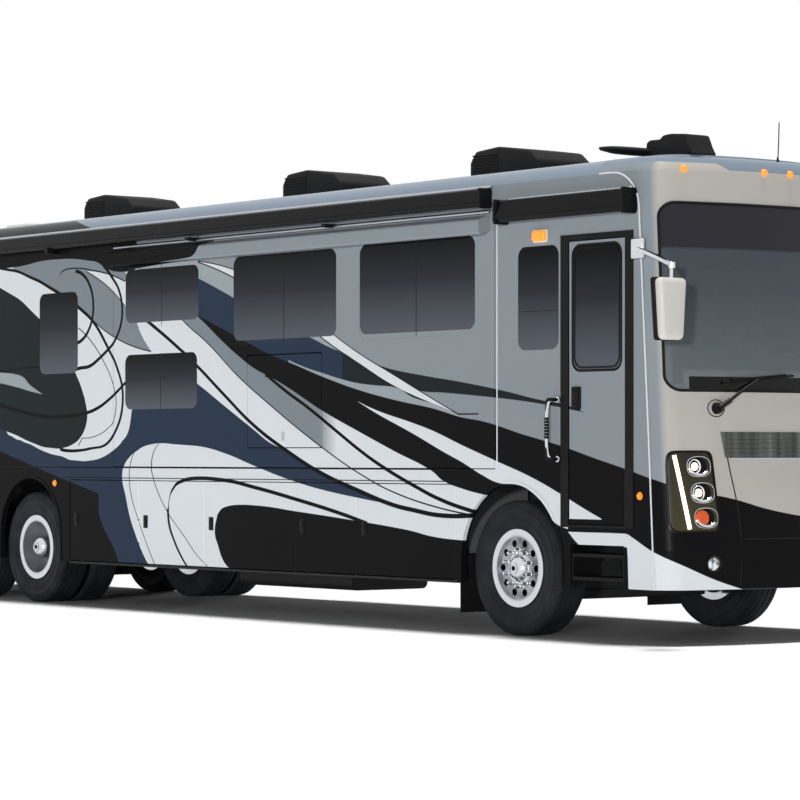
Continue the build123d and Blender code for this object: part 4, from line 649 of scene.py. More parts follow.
def lamp(name, direction, power, spread):
    """A far, soft lamp that shines along a direction."""
    data = bpy.data.lights.new(name, "SUN")
    data.energy = power
    data.angle = math.radians(spread)
    made = bpy.data.objects.new(name, data)
    made.rotation_euler = Vector(direction).to_track_quat("-Z", "Y").to_euler()
    bpy.context.scene.collection.objects.link(made)


lamp("side_lamp", (-0.62, 0.80, -0.04), 1.5, 4)
lamp("far_side_lamp", (0.62, -0.80, -0.04), 1.05, 4)
lamp("top_lamp", (0.0, -0.03, -1.0), 2.85, 7)
print("stage ready")

# %% [markdown]
# ## Finishes
#
# Each thing gets the finish its real counterpart has: rubber scatters light, chrome mirrors it,
# moulded plastic has a fine grain. None is one flat value, because worn or handled surfaces
# never are: noise moves the roughness a little, and bump breaks the reflections.

# %% Dark trims, rubber and metals
def grained(name, shade, roughness, grain, depth, **sockets):
    """A finish of one colour: (low, high, scale) of its roughness, then its grain and depth."""
    finish = Finish(name, colour(*shade), **sockets)
    finish.wear(*roughness)
    finish.bump(finish.noise(*grain), depth)
    return finish


gloss_black = grained(
    "gloss_black", (14, 14, 16), (0.22, 0.34, 3.0), (14.0, 1.0), 0.0004, Specular_IOR_Level=0.08
)
satin_black = grained(
    "satin_black", (16, 16, 17), (0.42, 0.6, 8.0), (420.0, 2.0), 0.0002, Specular_IOR_Level=0.12
)
moulded_black = grained(
    "moulded_black", (25, 25, 26), (0.55, 0.75, 12.0), (600.0, 3.0), 0.0006, Specular_IOR_Level=0.12
)
rubber = Finish("rubber", colour(24, 24, 25), Specular_IOR_Level=0.10)
# dust lightens the rubber in patches
patches = rubber.noise(5.0, 4.0)
rubber.dye(rubber.mix(patches.ramp(0.45, 0.8) * 0.35, colour(21, 21, 22), colour(46, 45, 44)))
rubber.wear(0.72, 0.9, 9.0)
rubber.bump(rubber.noise(300.0, 2.0), 0.0004)

chrome = grained("chrome", (214, 216, 220), (0.07, 0.15, 5.0), (26.0, 1.0), 0.0002, Metallic=1.0)
brushed = grained(
    "brushed_aluminium", (186, 190, 196), (0.26, 0.38, 7.0), (90.0, 2.0, (0.02, 1, 1)), 0.0003,
    Metallic=1.0,
)

def alloy(name, x_axle, dish_painted_shade, dish_metal):
    """Polished alloy: bright at the lip and the hub, with a painted shade and dark reflection in
    the dish between them.
    """
    finish = Finish(name, colour(205, 208, 213), Metallic=1.0)
    x, y, z = finish.place()
    dx, dz = x - x_axle, z - tyre_r
    reach = (dx * dx + dz * dz).maths("SQRT")
    # the dish gets a painted shade and dark reflection, broken up in clouds
    dish = reach.ramp(0.115, 0.15) * (1.0 - reach.ramp(0.235, 0.27))
    painted_reflection_clouds = finish.noise(7.0, 2.0, (1, 0.2, 1)).ramp(0.35, 0.65)
    shade = finish.mix(dish * (painted_reflection_clouds * 0.45 + 0.5), colour(212, 215, 220), dish_painted_shade)
    metal = 1.0 - dish * (1.0 - dish_metal)
    finish.feed(finish.shader, {"Base Color": shade, "Metallic": metal})
    finish.wear(0.10, 0.20, 5.0)
    finish.bump(finish.noise(26.0, 1.0), 0.0002)
    return finish


# the deep dishes at the rear are part metal, part matt, with a lighter painted shade than the
# front's dish
deep_dish_painted_shade = colour(104, 107, 112)
rims = {
    "front": alloy("front_alloy", axle_x["front"], colour(92, 95, 101), 1.0),
    "drive": alloy("drive_alloy", axle_x["drive"], deep_dish_painted_shade, 0.45),
    "tag": alloy("tag_alloy", axle_x["tag"], deep_dish_painted_shade, 0.45),
}

steel = grained(
    "chassis_steel", (33, 34, 36), (0.5, 0.8, 4.0), (60.0, 4.0), 0.001, Specular_IOR_Level=0.3
)

roof_metal = Finish("roof_metal", brow_blue, Specular_IOR_Level=0.25)
x, y, z = roof_metal.place()
rear_edge = (3.69 - z).least(-1.68 - x + (z - 3.59) * -4.0)
flake(roof_metal, roof_metal.mix(rear_edge.mask(0.01), brow_blue, jet))

grille_gloss = Finish("grille_gloss", colour(62, 64, 58), Specular_IOR_Level=0.3)
streaks = grille_gloss.noise(9.0, 3.0, (1, 1, 0.05)).ramp(0.35, 0.68)
grille_gloss.dye(grille_gloss.mix(streaks, colour(44, 46, 43), colour(108, 112, 106)))
grille_gloss.wear(0.14, 0.24, 6.0)

white_trim = Finish("white_trim", colour(226, 230, 233), Specular_IOR_Level=0.3)
white_trim.wear(0.25, 0.4, 6.0)
pearl_plastic = Finish("pearl_plastic", colour(214, 211, 205), Specular_IOR_Level=0.3)
pearl_plastic.wear(0.3, 0.45, 6.0)
print("metal and plastic finishes ready")


# %% Glass
def islands(node):
    """The box of each separate pane of a CAD node, from the rear to the front."""
    bm = bmesh.new()
    bm.from_mesh(nodes[node].data)
    bmesh.ops.remove_doubles(bm, verts=bm.verts, dist=0.00005)
    left = set(bm.verts)
    boxes = []
    while left:
        heap = [left.pop()]
        found = []
        while heap:
            vert = heap.pop()
            found.append(vert.co.copy())
            near = {edge.other_vert(vert) for edge in vert.link_edges} & left
            left -= near
            heap.extend(near)
        boxes.append([(min(c[i] for c in found), max(c[i] for c in found)) for i in range(3)])
    bm.free()
    return sorted(boxes)


side_glass = ("wall_glass", "right_slide_glass", "left_slide_glass", "entry_glass")
side_panes = {name: islands(name) for name in side_glass}
print({name: len(panes) for name, panes in side_panes.items()})

# dark tinted panes with a painted reflection of the ground, near black at the head and grey at the
# sill;
# rise is how high a point lies in the pane that it belongs to
tinted = Finish("tinted_glass", colour(20, 21, 24), Specular_IOR_Level=0.06)
x, y, z = tinted.place()
zero = tinted.node("ShaderNodeValue").outputs[0]
zero.default_value = 0.0
rise = Value(tinted, zero)
for panes in side_panes.values():
    for across, wide, up in panes:
        outward = y * (1.0 if wide[0] + wide[1] > 0 else -1.0)
        inside = (x - across[0]).least(across[1] - x, z - up[0], up[1] - z, outward) + 0.001
        rise = rise + inside.mask(0.0005) * z.ramp(*up)
tint_and_painted_reflection = tinted.mix(rise.ramp(0.0, 0.55), colour(92, 96, 106), colour(48, 51, 58))
tint_and_painted_reflection = tinted.mix(rise.ramp(0.5, 0.95), tint_and_painted_reflection, colour(12, 13, 15))
# the slide-out room's panes are bonded in, and the wall's paint runs on over their edges
pane_corner = 0.085
covered = rise * 0.0
for across, wide, up in side_panes["right_slide_glass"]:
    lap = 0.045 if up[1] > 3.1 else 0.015
    middle = [(low + high) / 2 for low, high in (across, up)]
    half = [(across[1] - across[0]) / 2 - pane_corner, (up[1] - up[0]) / 2 - lap - pane_corner]
    past_x = ((x - middle[0]).size() - half[0]).most(0.0)
    past_z = ((z - middle[1]).size() - half[1]).most(0.0)
    beyond = (past_x * past_x + past_z * past_z).maths("SQRT") - pane_corner
    inside = (x - across[0]).least(across[1] - x, z - up[0], up[1] - z, -y) + 0.001
    covered = covered + beyond.least(inside).mask(0.002)
    print("slide pane:", [round(v, 3) for v in (*across, *up)])
tint_and_painted_reflection = tinted.mix(covered, tint_and_painted_reflection, swept_bands(tinted, slate, True))
tinted.dye(tint_and_painted_reflection)
tinted.wear(0.10, 0.16, 1.2)

# the windshield: a black printed border, a shaded head, and clearer glass below it,
# painted lighter towards its foot as a reflection of the ground
shield = Finish("windshield_glass", colour(24, 25, 29), Specular_IOR_Level=0.2)
x, y, z = shield.place()
low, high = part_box("windshield")
border = (high[1] - y.size()).least(z - low[2], high[2] - z)
cowl = (low[2] + 0.105 - z).least(1.02 - y.size())
border = border.least(-cowl)
open_glass = border.ramp(0.035, 0.06) * (1.0 - z.ramp(high[2] - 0.62, high[2] - 0.30))
shield.feed(shield.shader, {"Alpha": 0.97 - open_glass * 0.27})
# painted reflection of the ground: lighter towards the foot, under the dark head
sunshade_and_painted_reflection = shield.mix(z.ramp(low[2], high[2] - 0.33), colour(112, 121, 124), colour(66, 74, 82))
sunshade_and_painted_reflection = shield.mix((z - high[2] + 0.34).mask(0.02), sunshade_and_painted_reflection, colour(38, 37, 45))
shield.dye(shield.mix(border.mask(0.004), colour(10, 10, 11), sunshade_and_painted_reflection))
shield.wear(0.05, 0.10, 0.8)
print("glass ready")

# %% Lamps
lens_dark = Finish("lamp_housing", colour(38, 38, 30), Specular_IOR_Level=0.15)
lens_dark.wear(0.16, 0.3, 9.0)
x, y, z = lens_dark.place()
# the tail lamps share the node, and are red
front_lens = lens_dark.mix(z.ramp(0.9, 1.45), colour(66, 61, 42), colour(46, 43, 34))
lens_dark.dye(lens_dark.mix((x + 6.0).mask(), colour(118, 12, 14), front_lens))
amber = Finish("amber_lens", colour(225, 92, 18))
cells = amber.node("ShaderNodeTexVoronoi", inputs={"Scale": 55.0})
facet = Value(amber, cells.outputs["Distance"]).ramp(0.1, 0.6)
glow = amber.mix(facet, colour(255, 128, 30), colour(196, 62, 10))
amber.feed(amber.shader, {"Base Color": glow, "Emission Color": glow, "Emission Strength": 0.35})
amber.wear(0.15, 0.3, 40.0)
amber.bump(facet, 0.003)
amber_bright = Finish(
    "amber_lit", colour(230, 120, 24), Emission_Color=colour(255, 140, 34), Emission_Strength=1.0
)
amber_bright.wear(0.2, 0.35, 40.0)
warm_white = Finish(
    "warm_white_lit", colour(255, 250, 232), Emission_Color=colour(255, 246, 214),
    Emission_Strength=2.4,
)
warm_white.wear(0.2, 0.3, 40.0)
clear_lens = Finish("clear_lens", colour(178, 184, 188), Specular_IOR_Level=0.3)
facet = clear_lens.noise(34.0, 1.0).ramp(0.40, 0.60)
clear_lens.dye(clear_lens.mix(facet, colour(104, 108, 112), colour(232, 236, 238)))
clear_lens.wear(0.05, 0.12, 20.0)
clear_lens.bump(facet, 0.002)

# %% Cab and under-floor finishes
leather = grained(
    "seat_leather", (182, 176, 166), (0.42, 0.6, 9.0), (230.0, 3.0), 0.0015, Specular_IOR_Level=0.35
)
dash_skin = grained(
    "dash_skin", (120, 114, 106), (0.5, 0.7, 9.0), (350.0, 2.0), 0.001, Specular_IOR_Level=0.3
)
x, y, z = dash_skin.place()
wheel_side = (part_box("dashboard")[0][0] + 0.40 - x).mask(0.01)
dash_skin.dye(dash_skin.mix(wheel_side, colour(128, 126, 118), colour(28, 28, 29)))
floor_ply = grained(
    "floor_board", (70, 58, 46), (0.6, 0.8, 3.0), (30.0, 3.0, (0.1, 1, 1)), 0.001,
    Specular_IOR_Level=0.2,
)
tank_skin = grained(
    "tank_plastic", (30, 30, 31), (0.45, 0.65, 3.0), (12.0, 2.0), 0.004, Specular_IOR_Level=0.3
)
engine_skin = grained(
    "engine_metal", (54, 57, 60), (0.4, 0.7, 8.0), (40.0, 4.0), 0.003, Metallic=0.6
)
bay_skin = grained(
    "bay_metal", (96, 98, 100), (0.5, 0.7, 5.0), (60.0, 2.0), 0.0006, Specular_IOR_Level=0.3
)
# the bays' outer rim, seen under the doors, is painted dark as the shade there
x, y, z = bay_skin.place()
outer_rim_painted_shade = y.size() - (half_width - 0.12)
bay_skin.dye(bay_skin.mix(outer_rim_painted_shade.mask(0.02), colour(96, 98, 100), colour(15, 15, 16)))
print("cab finishes ready")

# %% Dress the CAD nodes
dressing = {
    "air_units": moulded_black, "awnings": gloss_black, "basement_bays": bay_skin,
    "cab_seats": leather, "chassis_rails": steel, "cross_members": steel,
    "dashboard": dash_skin, "engine_block": engine_skin, "entry_frame": satin_black,
    "entry_glass": tinted, "entry_step": satin_black, "front_axle": steel,
    "front_cap": cap_paint, "grille": satin_black, "hitch_receiver": satin_black,
    "holding_tank": tank_skin, "house_floor": floor_ply, "knuckle_left": steel,
    "knuckle_right": steel, "lamps": lens_dark, "left_slide_glass": tinted,
    "mirrors": pearl_plastic, "rear_axles": steel, "right_slide_glass": tinted,
    "roof_fittings": moulded_black, "roof_panel": roof_metal, "wall_glass": tinted,
    "windshield": shield,
}
for name, node in nodes.items():
    if "_rim_" in name:
        finish = rims[name.split("_")[0]]
    elif "_tyre_" in name:
        finish = rubber
    else:
        finish = dressing.get(name, body_paint)
    node.data.materials.clear()
    node.data.materials.append(finish.material)
print("dressed", len(nodes), "nodes")

# %% [markdown]
# ## Shapes by operator
#
# Every added piece starts from an operator: a cube with its edges bevelled, a profile spun
# round an axis, a curve with thickness. Hand-typed vertices would be longer and could not be
# resized. Pieces that lie on the rounded nose find it by casting a ray at the CAD skin, so
# they follow it wherever it goes.


# %% Helpers for shapes
def span(middle, half):
    """The range about a middle."""
    return (middle - half, middle + half)


def right(out):
    """The Y that lies a distance outside the skin of the right wall."""
    return -half_width - out



def slab(bm, x, y, z, round_edge=0.006, segments=2):
    """A box between pairs of low and high values, with rounded edges."""
    size = Vector((x[1] - x[0], y[1] - y[0], z[1] - z[0]))
    middle = Vector((x[0] + x[1], y[0] + y[1], z[0] + z[1])) / 2
    place = Matrix.Translation(middle) @ Matrix.Diagonal((*size, 1))
    made = bmesh.ops.create_cube(bm, size=1.0, matrix=place)
    if round_edge:
        edges = list({edge for vert in made["verts"] for edge in vert.link_edges})
        bmesh.ops.bevel(
            bm, geom=edges, offset=round_edge, segments=segments, profile=0.5,
            affect="EDGES", material=-1,
        )


def turned(bm, profile, centre, axis=(0, 1, 0), steps=48):
    """A profile of (along, out) pairs, spun round an axis through centre."""
    axis = Vector(axis).normalized()
    out = axis.orthogonal().normalized()
    centre = Vector(centre)
    verts = [bm.verts.new(centre + axis * a + out * r) for a, r in profile]
    edges = [bm.edges.new(pair) for pair in zip(verts, verts[1:])]
    bmesh.ops.spin(
        bm, geom=verts + edges, cent=centre, axis=axis, angle=math.tau, steps=steps,
        use_merge=True,
    )
    bmesh.ops.remove_doubles(bm, verts=[v for v in bm.verts if v.is_valid], dist=0.00002)


def rod(bm, points, radius, closed=False, flat=False):
    """A round bar along a smooth route, or along straight runs where flat is set."""
    curve = bpy.data.curves.new("route", "CURVE")
    curve.dimensions = "3D"
    curve.bevel_depth = radius
    curve.bevel_resolution = 3
    curve.use_fill_caps = True
    spline = curve.splines.new("POLY" if flat else "NURBS")
    spline.points.add(len(points) - 1)
    for spot, point in zip(spline.points, points):
        spot.co = (*point, 1.0)
    spline.use_cyclic_u = closed
    if not flat:
        spline.order_u = 3
        spline.use_endpoint_u = not closed
        spline.resolution_u = 5
    holder = bpy.data.objects.new("route", curve)
    mesh = bpy.data.meshes.new_from_object(holder)
    bm.from_mesh(mesh)
    bpy.data.meshes.remove(mesh)
    bpy.data.objects.remove(holder)
    bpy.data.curves.remove(curve)


def piece(name, bm, body, finish, sharp=35):
    """Makes an object from finished shapes, dresses it and lets it ride on a body."""
    bmesh.ops.recalc_face_normals(bm, faces=bm.faces)
    for face in bm.faces:
        face.smooth = True
    for edge in bm.edges:
        edge.smooth = len(edge.link_faces) == 2 and edge.calc_face_angle(0) < math.radians(sharp)
    mesh = bpy.data.meshes.new(name)
    bm.to_mesh(mesh)
    bm.free()
    made = bpy.data.objects.new(name, mesh)
    bpy.context.scene.collection.objects.link(made)
    made.data.materials.append(finish.material)
    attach(made, body)
    return made


def tree_of(*names):
    """The surfaces of some CAD nodes, ready for rays."""
    joined = bmesh.new()
    for name in names:
        joined.from_mesh(nodes[name].data)
    found = BVHTree.FromBMesh(joined)
    joined.free()
    return found


nose_skin = tree_of("front_cap", "windshield", "lamps")


def nose_hit(y, z):
    """The point of the nose straight behind (y, z), and its outward normal."""
    spot, normal, _, _ = nose_skin.ray_cast(Vector((8, y, z)), Vector((-1, 0, 0)))
    return spot, normal if normal.x > 0 else -normal


def on_nose(y, z, proud=0.0):
    """The point of the nose straight behind (y, z), moved out along its normal."""
    spot, normal = nose_hit(y, z)
    return spot + normal * proud


print("shape helpers ready")

# %% [markdown]
# ## Cab seats
#
# A seat is foam pulled into a sewn cover: full in the middle, drawn in between the corners and
# along its seams, and flat only where it rests on its pan. Cloth simulation gives that swell by
# itself. A slab is remeshed into small even faces, blown up with pressure and no gravity, and
# kept within a cap so that it stays in the space of its CAD solid. The sewn channels come
# after, because the remesh would erase them. One seat is simulated and copied for the other.


# %% Foam in a cover
def bake(made):
    """Makes the result of an object's modifiers its own mesh."""
    graph = bpy.context.evaluated_depsgraph_get()
    mesh = bpy.data.meshes.new_from_object(made.evaluated_get(graph))
    made.modifiers.clear()
    made.data = mesh


def blow_up(made, voxel, cap):
    """Swells a closed slab as cloth under pressure; no point moves further than cap."""
    remesh = made.modifiers.new("even_faces", "REMESH")
    remesh.mode = "VOXEL"
    remesh.voxel_size = voxel
    bake(made)
    before = [vert.co.copy() for vert in made.data.vertices]
    cloth = made.modifiers.new("cover", "CLOTH")
    cloth.settings.use_pressure = True
    cloth.settings.uniform_pressure_force = 4.0
    cloth.settings.effector_weights.gravity = 0.0
    for number in range(1, 21):
        bpy.context.scene.frame_set(number)
    bake(made)
    bpy.context.scene.frame_set(1)
    for vert, old in zip(made.data.vertices, before):
        moved = vert.co - old
        if moved.length > cap:
            vert.co = old + moved * (cap / moved.length)


def sewn(made, seams, depth=0.009, width=0.010):
    """Draws the surface in along seams, each a function of a point that gives a distance."""
    normals = [vert.normal.copy() for vert in made.data.vertices]
    for vert, normal in zip(made.data.vertices, normals):
        near = min(abs(seam(vert.co)) for seam in seams)
        vert.co -= normal * depth * math.exp(-((near / width) ** 2))


seat_low, seat_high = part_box("cab_seats")
seat_pitch = (seat_high[1] - 0.27) - (seat_low[1] + 0.27)
lean = math.radians(-10.4)
pads = {
    # name: (length, width, thickness), middle, lean
    "seat_cushion": ((0.455, 0.455, 0.115), (0.0, 0.0, 0.405), 0.0),
    "seat_back": ((0.105, 0.45, 0.57), (-0.245, 0.0, 0.76), lean),
    "seat_headrest": ((0.085, 0.25, 0.15), (-0.318, 0.0, 1.145), lean),
}
seams_of = {
    "seat_cushion": [
        lambda p: p.y - 0.14, lambda p: p.y + 0.14, lambda p: p.x + 0.05,
    ],
    "seat_back": [
        lambda p: p.y - 0.13, lambda p: p.y + 0.13,
        lambda p: p.z - 0.66, lambda p: p.z - 0.93,
    ],
    "seat_headrest": [lambda p: p.z - 1.09],
}
driver_seat_y, seat_x = seat_high[1] - 0.27, 5.285
for name, (size, middle, tilt) in pads.items():
    bm = bmesh.new()
    half = Vector(size) / 2
    slab(bm, (-half.x, half.x), (-half.y, half.y), (-half.z, half.z), 0.9 * min(half), 4)
    turn = Matrix.Translation(middle) @ Matrix.Rotation(tilt, 4, "Y")
    bmesh.ops.transform(bm, matrix=turn, verts=bm.verts)
    pad = piece(f"{name}_left", bm, "coach", leather)
    blow_up(pad, 0.009, 0.016)
    sewn(pad, seams_of[name])
    rounder = pad.modifiers.new("rounder", "SUBSURF")
    rounder.levels = rounder.render_levels = 1
    bake(pad)
    pad.data.polygons.foreach_set("use_smooth", [True] * len(pad.data.polygons))
    pad.data.transform(Matrix.Translation((seat_x, driver_seat_y, seat_low[2])))
    other = bpy.data.objects.new(f"{name}_right", pad.data.copy())
    other.data.transform(Matrix.Translation((0, -seat_pitch, 0)))
    bpy.context.scene.collection.objects.link(other)
    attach(other, "coach")
    for made in (pad, other):
        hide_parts("cab_seats")

# %% Seat frames
for side_name, y in (("left", driver_seat_y), ("right", driver_seat_y - seat_pitch)):
    base, arms = bmesh.new(), bmesh.new()
    floor_z = seat_low[2] + 0.002
    foot = [(0.0, 0.19), (0.016, 0.19), (0.03, 0.10), (0.05, 0.075), (0.28, 0.075), (0.30, 0.12)]
    turned(base, foot, (seat_x, y, floor_z), (0, 0, 1), 40)
    slab(base, span(seat_x, 0.2), span(y, 0.19), (floor_z + 0.295, floor_z + 0.34), 0.015)
    for side in (-1, 1):
        arm_y = sorted((y + side * 0.232, y + side * 0.262))
        arm_x = (seat_x - 0.20, seat_x + 0.14)
        slab(arms, arm_x, arm_y, (floor_z + 0.64, floor_z + 0.70), 0.014, 4)
        post_z = (floor_z + 0.36, floor_z + 0.68)
        slab(base, (seat_x - 0.24, seat_x - 0.19), arm_y, post_z, 0.012, 2)
        rest_y = y + side * 0.07
        rest_top = (seat_x - 0.318, rest_y, floor_z + 1.10)
        rod(base, [(seat_x - 0.30, rest_y, floor_z + 0.98), rest_top], 0.007)
    piece(f"seat_base_{side_name}", base, "coach", satin_black)
    piece(f"seat_arms_{side_name}", arms, "coach", leather)
print("seats ready")

# %% [markdown]
# ## Wheels
#
# A tyre's section is spun round its axle: grooves run round the tread, two ribs mark the side.
# The tread's cross cuts are too fine for geometry at this size, so a bump pattern, laid out by
# angle round the axle, gives them. The nuts stand in a ring on the rim's hub.

# %% Tyres
twin_pitch = 0.346


def tread_rubber(name, x_axle):
    """Rubber with cross-cut blocks round one axle."""
    finish = Finish(name, colour(25, 25, 26), Specular_IOR_Level=0.10)
    x, y, z = finish.place()
    dx, dz = x - x_axle, z - tyre_r
    reach = (dx * dx + dz * dz).maths("SQRT")
    turn = dz.maths("ARCTAN2", dx) * (1 / math.tau)
    cut = (turn * 96.0 + y * 14.0).maths("FRACT")
    blocks = (cut - 0.5).size().ramp(0.08, 0.13)
    on_tread = reach.ramp(tyre_r - 0.035, tyre_r - 0.03)
    # fine lines round the side wall
    rings = (reach * 130.0).maths("FRACT").ramp(0.3, 0.7) * (1.0 - on_tread)
    rings = rings * (0.008 - (reach - 0.47).size()).mask(0.002)
    finish.bump(blocks * on_tread + rings * 0.25, 0.006)
    # the tone, lighter and bluer in patches, is dust and a painted sheen
    patches = finish.noise(5.0, 4.0)
    finish.dye(finish.mix(patches.ramp(0.4, 0.8), colour(31, 34, 38), colour(47, 50, 54)))
    finish.wear(0.5, 0.75, 9.0)
    return finish


def tyre_profile():
    """Half the section from bead to tread, as (across, out) pairs."""
    side = [(0.100, 0.300), (0.120, 0.311), (0.122, 0.326), (0.140, 0.352), (0.150, 0.380)]
    side += [(0.1535, 0.383), (0.1545, 0.390), (0.152, 0.394), (0.156, 0.430), (0.1555, 0.458)]
    side += [(0.1575, 0.461), (0.1575, 0.468), (0.154, 0.472), (0.150, 0.492), (0.144, 0.508)]
    side += [(0.136, 0.526), (0.125, 0.5375)]
    tread = []
    for groove in (0.088, 0.030):
        tread += [(groove + 0.007, 0.538), (groove + 0.004, 0.524)]
        tread += [(groove - 0.004, 0.524), (groove - 0.007, 0.538)]
    half = side + tread
    return half + [(-a, r) for a, r in reversed(half)]


for set_name, x_axle in axle_x.items():
    treaded = tread_rubber(f"{set_name}_tread", x_axle)
    for side_name, side in (("left", 1), ("right", -1)):
        bm = bmesh.new()
        middles = [wheel_y]
        if set_name == "drive":
            middles.append(wheel_y - twin_pitch)
        for middle in middles:
            turned(bm, tyre_profile(), (x_axle, side * middle, tyre_r), steps=96)
        body = f"{set_name}_wheel_{side_name}"
        made = piece(f"{set_name}_treaded_tyre_{side_name}", bm, body, treaded, 50)
        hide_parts(f"{set_name}_tyre_{side_name}")
print("tyres ready")

# %% [markdown]
# ### Nuts
#
# Ten chrome nut covers stand in a ring on each hub. One turned profile, spun ten times at its own
# place, gives them all, and a ring and a plug close the hub's end.

# %% Wheel nuts and hub caps
seat_out = {"front": 0.112, "drive": -0.161, "tag": 0.112}
hub_tip = {"front": 0.178, "drive": 0.140, "tag": 0.178}
nut_ring_r = 0.146
nut_count = 10
for set_name, x_axle in axle_x.items():
    for side_name, side in (("left", 1), ("right", -1)):
        body = f"{set_name}_wheel_{side_name}"
        bm = bmesh.new()
        for number in range(nut_count):
            angle = math.tau * (number + 0.5) / nut_count
            face_y = side * (wheel_y + seat_out[set_name])
            over, up = nut_ring_r * math.cos(angle), nut_ring_r * math.sin(angle)
            spot = (x_axle + over, face_y, tyre_r + up)
            cover = [(-0.002, 0.021), (0.008, 0.021), (0.012, 0.0165), (0.046, 0.0155)]
            cover += [(0.053, 0.012), (0.056, 0.006), (0.057, 0.0)]
            turned(bm, [(side * a, r) for a, r in cover], spot, steps=16)
        # the oil window's ring and the plug in the hub's end
        tip = side * (wheel_y + hub_tip[set_name])
        ring = [(-0.012, 0.050), (0.003, 0.048), (0.004, 0.040), (-0.001, 0.038), (-0.001, 0.0)]
        turned(bm, [(side * a, r) for a, r in ring], (x_axle, tip, tyre_r), steps=32)
        piece(f"{set_name}_nuts_{side_name}", bm, body, chrome)
        bm = bmesh.new()
        plug = [(-0.003, 0.020), (0.004, 0.019), (0.008, 0.012), (0.009, 0.0)]
        turned(bm, [(side * a, r) for a, r in plug], (x_axle, tip, tyre_r), steps=24)
        piece(f"{set_name}_plug_{side_name}", bm, body, satin_black)
print("nuts ready")

# %% [markdown]
# ## Nose: lamps, wipers and trim
#
# Each lamp is a dark pocket with a bright rim, a bulb and a lens. They are placed by (Y, Z) on
# the skin and a ray finds the depth, so the same rows serve both sides of the vehicle.


# %% Headlamps
def nose_ring(bm, y, z, half_y, half_z, radius, proud, power=2.6, count=28):
    """A closed bar on the nose, round a rounded oval."""
    points = []
    for step in range(count):
        angle = math.tau * step / count
        c, s = math.cos(angle), math.sin(angle)
        out_y = half_y * math.copysign(abs(c) ** (2 / power), c)
        out_z = half_z * math.copysign(abs(s) ** (2 / power), s)
        points.append(on_nose(y + out_y, z + out_z, proud))
    rod(bm, points, radius, closed=True)


def nose_disc(bm, y, z, radius, depth, proud, steps=32):
    """A shallow domed disc that faces along the skin's normal."""
    spot, normal = nose_hit(y, z)
    rim = [(0.0, radius), (depth * 0.5, radius * 0.88), (depth * 0.85, radius * 0.55), (depth, 0.0)]
    turned(bm, rim, spot + normal * proud, normal, steps)


def nose_arc(bm, y, z, half_y, half_z, radius, turn_from, turn_to, side):
    """A bar along a part of an oval on the nose."""
    points = []
    for step in range(11):
        angle = math.radians(turn_from + (turn_to - turn_from) * step / 10)
        spot_y = y + side * half_y * math.cos(angle)
        points.append(on_nose(spot_y, z + half_z * math.sin(angle), 0.003))
    rod(bm, points, radius)


lamp_rows = [(0.966, 1.350), (0.942, 1.152), (0.922, 0.962)]
for side_name, side in (("left", 1), ("right", -1)):
    rings, bulbs, turn, pockets = bmesh.new(), bmesh.new(), bmesh.new(), bmesh.new()
    for number, (y, z) in enumerate(lamp_rows):
        y *= side
        nose_ring(rings, y, z, 0.098, 0.076, 0.003, 0.002)
        # the bright bowl shows as a crescent at the foot and the inner side
        nose_arc(rings, y, z, 0.082, 0.062, 0.012, 215, 350, -1)
        nose_disc(pockets, y, z, 0.070, 0.003, 0.001)
        bulb_y = y + side * 0.036
        if number < 2:
            nose_ring(rings, bulb_y, z, 0.046, 0.052, 0.006, 0.004, 2.0)
            nose_disc(bulbs, bulb_y, z, 0.030, 0.012, 0.004)
        else:
            nose_disc(turn, bulb_y, z, 0.060, 0.014, 0.003)
    piece(f"lamp_rims_{side_name}", rings, "coach", chrome)
    piece(f"lamp_pockets_{side_name}", pockets, "coach", gloss_black)
    piece(f"lamp_bulbs_{side_name}", bulbs, "coach", warm_white)
    piece(f"turn_lamp_{side_name}", turn, "coach", amber)
    # the slanted strip of white light and the trim round the whole lamp
    strip = bmesh.new()
    steps = (0, 0.25, 0.5, 0.75, 1)
    route = [on_nose(side * (1.158 - 0.094 * t), 1.435 - 0.555 * t, 0.003) for t in steps]
    rod(strip, route, 0.016)
    piece(f"light_strip_{side_name}", strip, "coach", warm_white)
    trim = bmesh.new()
    corners = [(1.205, 1.463), (0.862, 1.463), (0.808, 0.857), (1.205, 0.857)]
    points = []
    for (y0, z0), (y1, z1) in zip(corners, corners[1:] + corners[:1]):
        for t in (0.08, 0.3, 0.5, 0.7, 0.92):
            points.append(on_nose(side * (y0 + (y1 - y0) * t), z0 + (z1 - z0) * t, 0.006))
    rod(trim, points, 0.008, closed=True)
    piece(f"lamp_trim_{side_name}", trim, "coach", gloss_black)
    fog = bmesh.new()
    nose_disc(fog, side * 0.868, 0.617, 0.050, 0.010, 0.004)
    piece(f"fog_lens_{side_name}", fog, "coach", clear_lens)
    fog = bmesh.new()
    nose_ring(fog, side * 0.868, 0.617, 0.062, 0.062, 0.007, 0.005, 2.0)
    piece(f"fog_ring_{side_name}", fog, "coach", satin_black)
print("headlamps ready")

# %% [markdown]
# ### Marker lamps
#
# Small amber domes mark the coach's height and length at night. Each is a shallow spun dome that
# faces along the surface it sits on.

